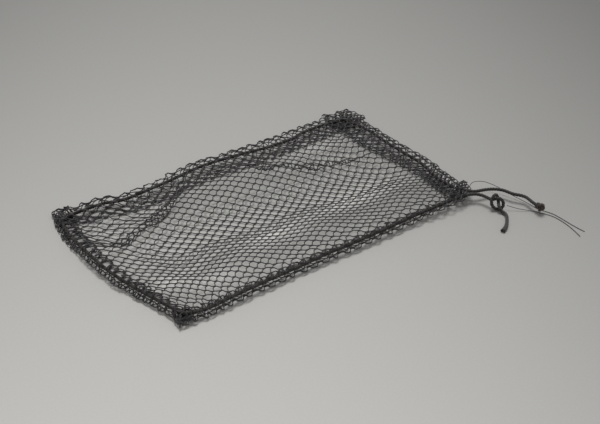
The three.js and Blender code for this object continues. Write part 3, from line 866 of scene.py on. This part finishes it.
knot_right = np.array([math.cos(KNOT_TURN), math.sin(KNOT_TURN), 0.0])
knot_back = np.array([-math.sin(KNOT_TURN), math.cos(KNOT_TURN), 0.0])
knot_up = knot_back * math.cos(KNOT_LEAN) + np.array([0.0, 0.0, math.sin(KNOT_LEAN)])
knot_plane = np.array([knot_right, knot_up, np.cross(knot_right, knot_up)])
knot_loops = KNOT_CENTRE + np.array(KNOT_ROUTE) @ knot_plane
tie_short_points = np.vstack([TIE_SHORT_TO_KNOT, knot_loops, TIE_SHORT_TAIL])
tie_short_route = smooth_route(tie_short_points, ROUTE_STEP)
tie_short = braided_piece(
    "tie_short_braid", tie_short_route, CORD_DIAMETER, cord_braid, flare=TAIL_FLARE
)
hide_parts("tie_short")
print("short end", round(route_length(tie_short_route)), "mm with its knot")

# %% [markdown]
# ## The thread tails
#
# Two loose ends of the sewing thread were left long at the corner. They are fine twisted thread, so
# the cord tree makes them too, with its strands all running one way.

# %% Lay the thread tails
THREAD_DIAMETER = 0.34
THREAD_SIDES = 8
THREAD_STRANDS = 2
THREAD_LAY = 2.4
THREAD_RELIEF = 0.25
THREAD_UPPER_ROUTE = [
    (100.0, -55.8, 4.9), (101.2, -55.3, 6.0), (103.3, -54.9, 6.6), (105.6, -55.1, 6.4),
    (107.8, -55.7, 6.1), (109.7, -56.7, 5.7), (111.4, -58.1, 5.2), (113.6, -60.9, 4.2),
    (115.2, -64.0, 3.3), (116.3, -68.4, 2.4), (117.7, -74.2, 1.5), (119.1, -80.1, 0.8),
    (119.8, -85.1, 0.5), (120.1, -89.3, 0.3), (120.8, -91.8, 0.3), (121.9, -94.5, 0.3),
    (123.1, -98.7, 0.3), (123.3, -104.4, 0.3), (123.2, -109.9, 0.3), (123.3, -115.4, 0.3),
    (123.7, -120.1, 0.3),
]
THREAD_LOWER_ROUTE = [
    (106.2, -79.2, 2.7), (107.5, -80.7, 2.2), (109.0, -82.4, 1.7), (110.9, -84.4, 1.2),
    (113.3, -86.8, 0.8), (116.0, -89.4, 0.45), (118.0, -92.3, 0.3), (119.6, -95.5, 0.3),
    (121.2, -100.1, 0.3), (121.5, -105.4, 0.3), (121.0, -111.0, 0.3), (119.9, -116.2, 0.3),
    (118.3, -121.8, 0.3),
]

for name, node, points in [
    ("thread_upper_twist", "thread_tail_upper", THREAD_UPPER_ROUTE),
    ("thread_lower_twist", "thread_tail_lower", THREAD_LOWER_ROUTE),
]:
    route = smooth_route(points, ROUTE_STEP)
    sizes = {
        "Diameter": THREAD_DIAMETER * MM, "Sides": THREAD_SIDES, "Strands": THREAD_STRANDS,
        "Lay": THREAD_LAY * THREAD_DIAMETER * MM, "Relief": THREAD_RELIEF, "Cross": 0.0, "Flare": 0.0,
        "Material": thread_twist,
    }
    thread = grow(name, line_mesh(name, route * MM), braid_tree, sizes)
    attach(thread, "root")
    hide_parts(node)
    print(name, round(route_length(route)), "mm")

# %% [markdown]
# ## Fine creases
#
# Along the two long creases the netting is drawn back into a tuck and drops within a few millimetres,
# steeper than the camera looks down, so that its meshes close up into a dark line. The solids leave that
# out. A displacement could only lift and lower the cloth, so a tuck is worked out here as a move along,
# across and up.

# %% Tuck the creases
FINE_START = -0.6
FINE_UNEVEN = 0.2
FINE_WAVES = 14
FINE_FADE = (-0.05, 0.2)

# Columns: u and v of both ends, bend of its middle, cloth in the tuck, drop, run of the tuck, run back
FINE_CREASES = [
    (-90, 13, -18, 47, -1.2, 7.2, 4.6, 5.8, 24),
    (10, 39, 80, 8, -2.4, 5.0, 3.4, 3.6, 20),
]


def crease_tucks(u, v):
    """How far the cloth is drawn back into the creases, along, across and up, in millimetres."""
    moves = np.zeros((3, *np.shape(u)))
    for u0, v0, u1, v1, bend, tuck, drop, run, back in FINE_CREASES:
        length = math.hypot(u1 - u0, v1 - v0)
        along = ((u - u0) * (u1 - u0) + (v - v0) * (v1 - v0)) / length**2
        beyond = ((v - v0) * (u1 - u0) - (u - u0) * (v1 - v0)) / length
        beyond = beyond - bend * np.sin(math.pi * np.clip(along, 0, 1))
        fade = smoothstep(along, *FINE_FADE) * smoothstep(1 - along, *FINE_FADE)
        fade = fade * (1 + FINE_UNEVEN * np.sin(FINE_WAVES * along))
        share = fade * (smoothstep(beyond, FINE_START, run) - smoothstep(beyond, run, run + back))
        move = np.array([tuck * (v1 - v0) / length, -tuck * (u1 - u0) / length, -drop])
        moves += share * move[:, None]
    return moves


print("fine creases:", len(FINE_CREASES))

# %% [markdown]
# ## Puckers in the hem
#
# A cord drawn through a hem gathers it into small puckers, and no two are alike. Two waves of different
# length fall in and out of step here. That looks less regular than one wave, and needs no random numbers.

# %% Pucker the hem
PUCKER_WAVES = (9.3, 13.7)
PUCKER_RISE = 0.45
PUCKER_SWAY = 0.9
PUCKER_OUT = 0.35
PUCKER_FADE = 4.0
SWAY_TURN = 1.6
OUT_TURN = 0.4


def pucker_wave(along, turn):
    """An uneven wave: two lengths that fall in and out of step."""
    short, long = PUCKER_WAVES
    quick = np.sin(2 * math.pi * along / short + turn)
    slow = np.sin(2 * math.pi * along / long + 2 * turn)
    return 0.5 * (quick + slow)


def puckers(u, v):
    """How far the gathered hem is moved along, across and up, in millimetres."""
    width = hem_width(u, v)
    hem_ends = (width - PUCKER_FADE, width + PUCKER_FADE)
    side = 1 - smoothstep(HALF_WIDTH - np.abs(v), *hem_ends)
    end = (1 - smoothstep(HALF_LENGTH - np.abs(u), *hem_ends)) * (1 - side)
    out_u = np.sign(u) * pucker_wave(v, OUT_TURN)
    out_v = np.sign(v) * pucker_wave(u, OUT_TURN)
    du = PUCKER_SWAY * side * pucker_wave(u, SWAY_TURN) + PUCKER_OUT * end * out_u
    dv = PUCKER_SWAY * end * pucker_wave(v, SWAY_TURN) + PUCKER_OUT * side * out_v
    return du, dv, PUCKER_RISE * (side * pucker_wave(u, 0.0) + end * pucker_wave(v, 0.0))


print("puckers of", PUCKER_WAVES, "mm in the hem")

# %% [markdown]
# ## The pinched rim
#
# Outside the cord the two layers of the hem are pressed flat together, so that one scalloped row of
# meshes shows along the rim. Along the near and left sides that rim hangs down and a little inwards, but
# not by the corner where the cord comes out. Both layers are moved towards a height between them.

# %% Pinch the rim
RIM_FLAT = 2.2
RIM_OPEN = 4.8
RIM_THICK = 0.5
RIM_DROOP = 2.3
RIM_RISE = 0.3
HANG_BLEND = 8
HANG_LAST = 48
HANG_ENDS = 84


def rim_hang(u, v):
    """How much the pinched rim hangs: fully along the near and left sides, not by the tied corner."""
    near = np.minimum(HALF_WIDTH + v, HALF_LENGTH + u)
    far = np.minimum(HALF_WIDTH - v, HALF_LENGTH - u)
    return (1 - smoothstep(near - far, -HANG_BLEND, HANG_BLEND)) * (1 - smoothstep(u, HANG_LAST, HANG_ENDS))


def rim_layers(upper, lower, inset, hang):
    """The heights of both layers, pressed together at the rim."""
    droop = lerp(-RIM_RISE, RIM_DROOP, hang)
    rim = (upper + lower) / 2 - droop * (1 - smoothstep(inset, 0, RIM_OPEN))
    apart = smoothstep(inset, RIM_FLAT, RIM_OPEN)
    return lerp(rim + RIM_THICK / 2, upper, apart), lerp(rim - RIM_THICK / 2, lower, apart)


print("rim pressed flat for", RIM_FLAT, "mm")

# %% [markdown]
# ## Fold the cloth
#
# The cloth is worked out as a real sewer would make it, from the flat cut. A point of the flat sheet
# is first asked how far it lies from each fold line. Past a fold it goes under, and past the flap's
# free edge it goes back again, because the raw edge is turned in. At the corners both folds act on the
# same point. The flap lies a little askew under the upper layer, so its meshes show between those above.

# %% Fold a point of the cloth
RIM_FOLD = 0.6
RIM_TURN = 1.5
RIM_PULL = 1.3
FLAP_SLIP = 1.7
FLAP_TURN_RADIUS = 0.6
FLAP_TURN_REACH = 1.4
RAW_EDGE = 5.0
LAYER_STEP = 0.9
CORNER_STEP = 0.45
CORNER_LAP = (-2, 4)
YARN_DROP = 0.25
YARN_LOWEST = 0.6

flat_right = HALF_LENGTH + HEM_WIDTH + 2 * RIM_FOLD + RAW_EDGE
flat_left = HALF_LENGTH + LEFT_HEM_WIDTH + 2 * RIM_FOLD + RAW_EDGE
flat_far = HALF_WIDTH + HEM_WIDTH + 2 * RIM_FOLD + RAW_EDGE
flat_near = HALF_WIDTH + NEAR_HEM_WIDTH + 2 * RIM_FOLD + RAW_EDGE


def folded_once(flat, half, width):
    """How far in from the fold a point lies, and how much it is under and turned in, from 0 to 1."""
    past = np.abs(flat) - half - RIM_FOLD
    edge = width + RIM_FOLD
    turned = smoothstep(past - edge, -FLAP_TURN_REACH, FLAP_TURN_REACH)
    run = edge - np.hypot(past - edge, FLAP_TURN_RADIUS)
    inset = np.hypot(run, RIM_FOLD) - RIM_FOLD
    under = smoothstep(past, -RIM_TURN, RIM_TURN)
    return inset, under, turned


def fold_cloth(s, t):
    """Flat cloth coordinates to places in millimetres, and how much each point is turned in."""
    width = hem_width(s, t)
    inset_s, under_s, turned_s = folded_once(s, HALF_LENGTH, width)
    inset_t, under_t, turned_t = folded_once(t, HALF_WIDTH, width)
    inset = np.minimum(inset_s, inset_t)
    under = 1 - (1 - under_s) * (1 - under_t)
    turned = 1 - (1 - turned_s) * (1 - turned_t)
    u = np.sign(s) * (HALF_LENGTH - inset_s)
    v = np.sign(t) * (HALF_WIDTH - inset_t)
    hang = rim_hang(u, v)
    u = u + RIM_PULL * hang * (s < 0) * (1 - smoothstep(inset_s, 0, RIM_OPEN))
    v = v + RIM_PULL * hang * (t < 0) * (1 - smoothstep(inset_t, 0, RIM_OPEN))
    u = u + FLAP_SLIP * under_t * smoothstep(inset_t, RIM_FLAT, CASING_FULL)
    v = v + FLAP_SLIP / 2 * under_s * smoothstep(inset_s, RIM_FLAT, CASING_FULL)
    tuck_u, tuck_v, tuck_rise = crease_tucks(u, v) * (1 - under)
    u, v = u + tuck_u, v + tuck_v
    du, dv, rise = puckers(u, v)
    upper = top_height(u, v) + tuck_rise + rise
    upper, lower = rim_layers(upper, flap_height(u, v, inset), inset, hang)
    in_corner = under_t * (1 - smoothstep(inset_s, width + CORNER_LAP[0], width + CORNER_LAP[1]))
    layers = CORNER_STEP * (in_corner + under_s * under_t)
    height = lerp(upper, lower, under) + LAYER_STEP * turned + layers
    x, y = plan(u, v)
    return np.stack([x + du, y + dv, np.maximum(height - YARN_DROP, YARN_LOWEST)], axis=-1), turned


print("cut", round(flat_left + flat_right), "x", round(flat_near + flat_far), "mm")

# %% [markdown]
# ## A guide for the netting
#
# A flat grid is folded point by point into a sheet. It never shows: it is only a guide that carries the
# netting. Each of its points remembers its flat place, as a UV map does, and whether it is turned in.

# %% Fold a flat grid
GRID_STEP = 1.0

columns = np.linspace(-flat_left, flat_right, round((flat_left + flat_right) / GRID_STEP) + 1)
rows = np.linspace(-flat_near, flat_far, round((flat_near + flat_far) / GRID_STEP) + 1)
grid_s, grid_t = (axis.ravel() for axis in np.meshgrid(columns, rows))
places, turned_in = fold_cloth(grid_s, grid_t)
corner_of = np.arange(len(grid_s)).reshape(len(rows), len(columns))
quads = np.stack(
    [corner_of[:-1, :-1], corner_of[:-1, 1:], corner_of[1:, 1:], corner_of[1:, :-1]], axis=-1
).reshape(-1, 4)


def cloth_guide():
    """The folded sheet, with its flat coordinates in metres and its turned-in share on every point."""
    guide = bpy.data.meshes.new("cloth_guide")
    guide.from_pydata((places * MM).tolist(), [], quads.tolist())
    flat = guide.attributes.new("flat", "FLOAT_VECTOR", "POINT")
    flat.data.foreach_set("vector", np.stack([grid_s, grid_t, 0 * grid_s], axis=-1).ravel() * MM)
    guide.attributes.new("turned", "FLOAT", "POINT").data.foreach_set("value", turned_in)
    return guide


print("guide", len(quads), "faces")

# %% [markdown]
# ## Knit the netting
#
# The netting is warp knitted: each yarn runs along the cloth in a zigzag, and at every turn it is
# looped to its neighbour, now on one side and now on the other. That makes rows of six-sided meshes.
# An image of a net on a sheet would look flat from close by, so the yarns are real. The tree starts
# with straight yarns side by side, and marks each with the way that it will sway, by turns.

# %% Build the netting tree
knit_inputs = {
    "Yarns": int, "Spacing": float, "Turns": int, "Turn": float, "Middle": float, "Samples": int,
    "Sway": float, "Twist": float, "Lean": float, "Grain": float, "Tighten": float,
    "Crowd Near": float, "Near From": float, "Near Over": float,
    "Crowd Far": float, "Far From": float, "Far Over": float,
    "Fold Length": float, "Fold Width": float, "Unevenness": float, "Seed": float,
    "Yarn Radius": float, "Sides": int, "Turned In": bool, "Material": bpy.types.Material,
}
tree, entry, size = geometry_tree("knit_the_netting", knit_inputs)
steps = size["Turns"] * size["Samples"]
step = size["Turn"] / size["Samples"]
yarn_start = vector(tree, size["Middle"] - steps * step * 0.5)
yarn = tree.node("GeometryNodeMeshLine", None, {
    "Count": steps + 1, "Start Location": yarn_start, "Offset": vector(tree, step),
})
feet_start = vector(tree, 0.0, (size["Yarns"] - 1.0) * size["Spacing"] * -0.5)
feet = tree.node("GeometryNodeMeshLine", None, {
    "Count": size["Yarns"], "Start Location": feet_start, "Offset": vector(tree, 0.0, size["Spacing"]),
})
yarns = tree.node("GeometryNodeInstanceOnPoints", None, {"Points": feet, "Instance": yarn})
number = tree.node("GeometryNodeInputIndex")
parity = number.math("MODULO", 2.0) * 2.0 - 1.0
yarns = stored(tree, yarns, "way", parity, "INSTANCE")
yarns = tree.node("GeometryNodeRealizeInstances", None, {0: yarns})
print("knit_the_netting:", len(tree.tree.nodes), "nodes lay the yarns")

# %% [markdown]
# ## Rows that crowd
#
# The cloth is slack, so its rows are not evenly spaced: they crowd together towards both long sides. The
# push grows over a stretch of cloth as a smooth wave does, and the sway is made as much narrower there.
# Beyond a long fold the rows are counted back, so that the flap leans as the cloth above it does.

# %% Crowd the rows
place = tree.node("GeometryNodeInputPosition")
split = tree.node("ShaderNodeSeparateXYZ", None, {0: place})
x, straight = split.out("X"), split.out("Y")


def crowded(out, side):
    """How far the rows on one side are pushed together, and how much narrower that makes a row."""
    share = (out - size[side + " From"]) / size[side + " Over"]
    share = share.math("MAXIMUM", 0.0).math("MINIMUM", 1.0)
    angle = share * (2.0 * math.pi)
    narrower = (1.0 - angle.math("COSINE")) / size[side + " Over"] * size["Crowd " + side]
    return (share - angle.math("SINE") / (2.0 * math.pi)) * size["Crowd " + side], narrower


def counted_back(along, fold):
    """Counts back beyond a fold, so that the flap's meshes lie under those above them."""
    return along.math("SIGN") * (fold - abs(abs(along) - fold))


near_push, near_narrower = crowded(straight * -1.0, "Near")
far_push, far_narrower = crowded(straight, "Far")
y = straight + near_push - far_push
row = counted_back(y, size["Fold Width"])
print("knit_the_netting:", len(tree.tree.nodes), "nodes crowd the rows")

# %% [markdown]
# ## Yarns that sway
#
# Neighbours sway in opposite ways, so they meet at every turn. A cosine would give round meshes, so it
# is pressed towards a square wave, which leaves a straight stretch where two yarns are looped together.
# The rows lean, the turns come closer together towards the right end, and noise makes it all uneven.

# %% Sway the yarns
SATURATE = 2.2
DRIFT_SCALE = 70.0

way = kept_as(tree, "way")
to_end = ((x / size["Fold Length"]) ** 2).math("MINIMUM", 1.0)
bent = x * (1.0 - x * size["Tighten"]) + row * size["Lean"] * (1.0 - to_end)
phase = x / size["Turn"] * math.pi
sway = (phase.math("COSINE") * SATURATE).math("TANH") / math.tanh(SATURATE)
uneven = tree.node("ShaderNodeTexNoise", {"noise_dimensions": "4D"}, {
    "Vector": vector(tree, x, row), "W": size["Seed"], "Scale": DRIFT_SCALE, "Detail": 2.0,
}).out("Color")
drift = tree.node("ShaderNodeSeparateXYZ", None, {0: uneven})
facing = (size["Fold Width"] - abs(y)).math("SIGN")
flat_x = bent + (drift.out("X") - 0.5) * size["Unevenness"]
swing = way * sway * size["Sway"] * (1.0 - near_narrower - far_narrower)
across = y + swing + (drift.out("Y") - 0.5) * size["Unevenness"] * facing
to_fold = (across / size["Fold Width"]) ** 2
flat_y = across - x * size["Grain"] * (1.0 - to_fold.math("MINIMUM", 1.0))
flat_place = vector(tree, flat_x, flat_y)
print("knit_the_netting:", len(tree.tree.nodes), "nodes with the sway")

# %% [markdown]
# ## From the flat cloth to the folded one
#
# Sample UV Surface looks up where each point of the flat yarn lies on the folded sheet. A modifier such
# as Surface Deform could carry the yarns too, but it needs them bound first. A small rise and dip along
# the cloth's normal twists neighbours round each other where they meet.

# %% Lay the yarns on the cloth
flat_map = kept_as(tree, "flat", "FLOAT_VECTOR")


def on_cloth(kind, value):
    """Looks up a value of the folded sheet at each yarn point's flat place."""
    return tree.node("GeometryNodeSampleUVSurface", {"data_type": kind}, {
        "Mesh": entry, "Value": value, "UV Map": flat_map, "Sample UV": flat_place,
    })


cloth_place = on_cloth("FLOAT_VECTOR", tree.node("GeometryNodeInputPosition"))
cloth_normal = on_cloth("FLOAT_VECTOR", tree.node("GeometryNodeInputNormal"))
turned = on_cloth("FLOAT", kept_as(tree, "turned"))
twist = way * phase.math("SINE") * size["Twist"]
lift = tree.node("ShaderNodeVectorMath", {"operation": "SCALE"}, {0: cloth_normal, "Scale": twist})
folded = tree.node("ShaderNodeVectorMath", {"operation": "ADD"}, {0: cloth_place, 1: lift})
yarns = stored(tree, yarns, "turned", turned)
yarns = stored(tree, yarns, "on_sheet", cloth_place.out("Is Valid"))
yarns = stored(tree, yarns, "loop", abs(sway))
yarns = tree.node("GeometryNodeSetPosition", None, {0: yarns, "Position": folded})
print("knit_the_netting:", len(tree.tree.nodes), "nodes with the folds")

# %% [markdown]
# ## The yarn's body
#
# Yarn that runs past the cut is deleted, and so is what belongs to the other run of the tree, because
# the cloth and its turned-in edge are made apart. What stays becomes tubes. They swell where two yarns
# are looped together and thin out unevenly between, as spun yarn does, with few sides to save faces.

# %% Give the yarns their body
TURNED_OVERLAP = 0.08
YARN_SLIM = 0.92
LOOP_SWELL = 0.22
FRAY_SCALE = 400.0
FRAY_LOW = 0.8
FRAY_SPAN = 0.4

turned_in_here = kept_as(tree, "turned")
main_goes = turned_in_here.math("GREATER_THAN", 0.5 + TURNED_OVERLAP)
edge_goes = turned_in_here.math("LESS_THAN", 0.5 - TURNED_OVERLAP)
off_sheet = 1.0 - kept_as(tree, "on_sheet")
goes = (main_goes + size["Turned In"] * (edge_goes - main_goes)).math("MAXIMUM", off_sheet)
kept = tree.node("GeometryNodeDeleteGeometry", {"domain": "POINT"}, {0: yarns, "Selection": goes})
curve = tree.node("GeometryNodeMeshToCurve", None, {0: kept})
fray = tree.node("ShaderNodeTexNoise", {"noise_dimensions": "4D"}, {
    "Vector": tree.node("GeometryNodeInputPosition"), "W": size["Seed"], "Scale": FRAY_SCALE,
})
swell = YARN_SLIM + kept_as(tree, "loop") ** 4 * LOOP_SWELL
body = size["Yarn Radius"] * swell * (FRAY_LOW + fray * FRAY_SPAN)
ring = tree.node("GeometryNodeCurvePrimitiveCircle", None, {"Resolution": size["Sides"], "Radius": 1.0})
tubes = tree.node("GeometryNodeCurveToMesh", None, {
    "Curve": curve, "Profile Curve": ring, "Scale": body, "Fill Caps": True,
})
netting_tree = close_tree(tree, tubes, size["Material"])
print("knit_the_netting:", len(netting_tree.nodes), "nodes in all")

# %% [markdown]
# ## The yarn's finish
#
# The yarn is charcoal polyester, not quite black, with a faint warm cast. Its filaments shine a little
# along their crowns. The colour drifts slowly over the net, as dyed yarn does, and finely from fibre
# to fibre.

# %% Paint the yarn
YARN_DARK = colour(33, 31, 32)
YARN_PALE = colour(66, 63, 65)
DYE_SCALE = 45.0
FIBRE_IN_SHADE = 0.6
DYE_IN_SHADE = 0.4


def paint_yarn(tree):
    place = tree.node("ShaderNodeTexCoord").out("Object")
    fibre = tree.node("ShaderNodeTexNoise", None, {"Vector": place, "Scale": FIBRE_SCALE, "Detail": 3.0})
    dye = tree.node("ShaderNodeTexNoise", None, {"Vector": place, "Scale": DYE_SCALE, "Detail": 2.0})
    shade = (fibre * FIBRE_IN_SHADE + dye * DYE_IN_SHADE).math("MINIMUM", 1.0)
    bump = tree.node("ShaderNodeBump", None, {"Height": fibre, "Strength": 0.4, "Distance": 0.00008})
    return {
        "Base Color": mixed(tree, shade, YARN_DARK, YARN_PALE),
        "Roughness": 0.5 + fibre * 0.25,
        "Normal": bump,
    }


yarn_sheen = {"Sheen Weight": 0.2, "Sheen Roughness": 0.4}
yarn_charcoal = finish_material("yarn_charcoal", paint_yarn, **yarn_sheen)

# %% [markdown]
# ## The net
#
# The tree runs twice on the same folded sheet: once for the cloth up to the flap's free edge, and once
# for the raw edge that is turned in. Both are the same cut of cloth, so the turned edge goes with it.
# The rows are spaced so that each long fold falls between two of them, and the scallops stay whole.

# %% Knit the net and its turned edge
ROWS_TO_FOLD = 21.5
YARN_SPACING = (HALF_WIDTH + RIM_FOLD) / ROWS_TO_FOLD
YARN_TURN = 3.44
YARN_DIAMETER = 0.58
YARN_SAMPLES = 4
YARN_SIDES = 5
YARN_TWIST = 0.4
YARN_UNEVEN = 1.3
YARN_SEED = 4.0
YARN_SPARE = 4
LEAN = 0.18
GRAIN = 0.05
TIGHTEN = 0.00048
NEAR_ROWS_MORE = 4
NEAR_CROWD_FROM = 4.0
NEAR_CROWD_OVER = 64.0
FAR_ROWS_MORE = 3
FAR_CROWD_FROM = 12.0
FAR_CROWD_OVER = 56.0

yarn_count = 2 * (int(flat_far / YARN_SPACING) + NEAR_ROWS_MORE) + 1
yarn_length = flat_left + flat_right + 2 * LEAN * flat_far + YARN_SPARE
turn_count = int(yarn_length / YARN_TURN)
knit_sizes = {
    "Yarns": yarn_count, "Spacing": YARN_SPACING * MM, "Turns": turn_count, "Turn": YARN_TURN * MM,
    "Middle": ((flat_right - flat_left) / 2 + TIGHTEN * flat_right**2) * MM, "Samples": YARN_SAMPLES,
    "Sway": (YARN_SPACING - YARN_DIAMETER) / 2 * MM, "Twist": YARN_TWIST * YARN_DIAMETER * MM,
    "Lean": LEAN, "Grain": GRAIN, "Tighten": TIGHTEN / MM,
    "Crowd Near": NEAR_ROWS_MORE * YARN_SPACING * MM,
    "Near From": NEAR_CROWD_FROM * MM, "Near Over": NEAR_CROWD_OVER * MM,
    "Crowd Far": FAR_ROWS_MORE * YARN_SPACING * MM,
    "Far From": FAR_CROWD_FROM * MM, "Far Over": FAR_CROWD_OVER * MM,
    "Fold Length": (HALF_LENGTH + RIM_FOLD) * MM, "Fold Width": (HALF_WIDTH + RIM_FOLD) * MM,
    "Unevenness": YARN_UNEVEN * MM, "Seed": YARN_SEED,
    "Yarn Radius": YARN_DIAMETER / 2 * MM, "Sides": YARN_SIDES, "Material": yarn_charcoal,
}
net = grow("net_knit", cloth_guide(), netting_tree, {**knit_sizes, "Turned In": False})
turned_edge = grow("net_turned_edge", cloth_guide(), netting_tree, {**knit_sizes, "Turned In": True})
for piece in (net, turned_edge):
    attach(piece, "root")
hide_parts("net")
print("yarns", yarn_count, "turns", turn_count)

# %% [markdown]
# ## What the cloth is
#
# Whoever drapes this net in a cloth simulation needs its flat cut. The two sides follow from the folds:
# the finished net, the hems on both sides, and the raw edge that is turned in. The cut is a full
# rectangle, and an open net is mostly hole. So the area given is not the cut's: it is a rough share of
# it that stands for the yarn alone.

cut = ((flat_left + flat_right) * MM, (flat_near + flat_far) * MM)

# %% [markdown]
# ## Sizes, and the end
#
# Last, the box round the solids and the box round what was made here are written down side by side, so
# that a shift between the two would show.

# %% Write the sizes and finish
visual_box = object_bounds()
sizes = {
    "cad": [list(corner) for corner in cad_box],
    "visual": [list(corner) for corner in visual_box],
}
print("sizes", sizes)
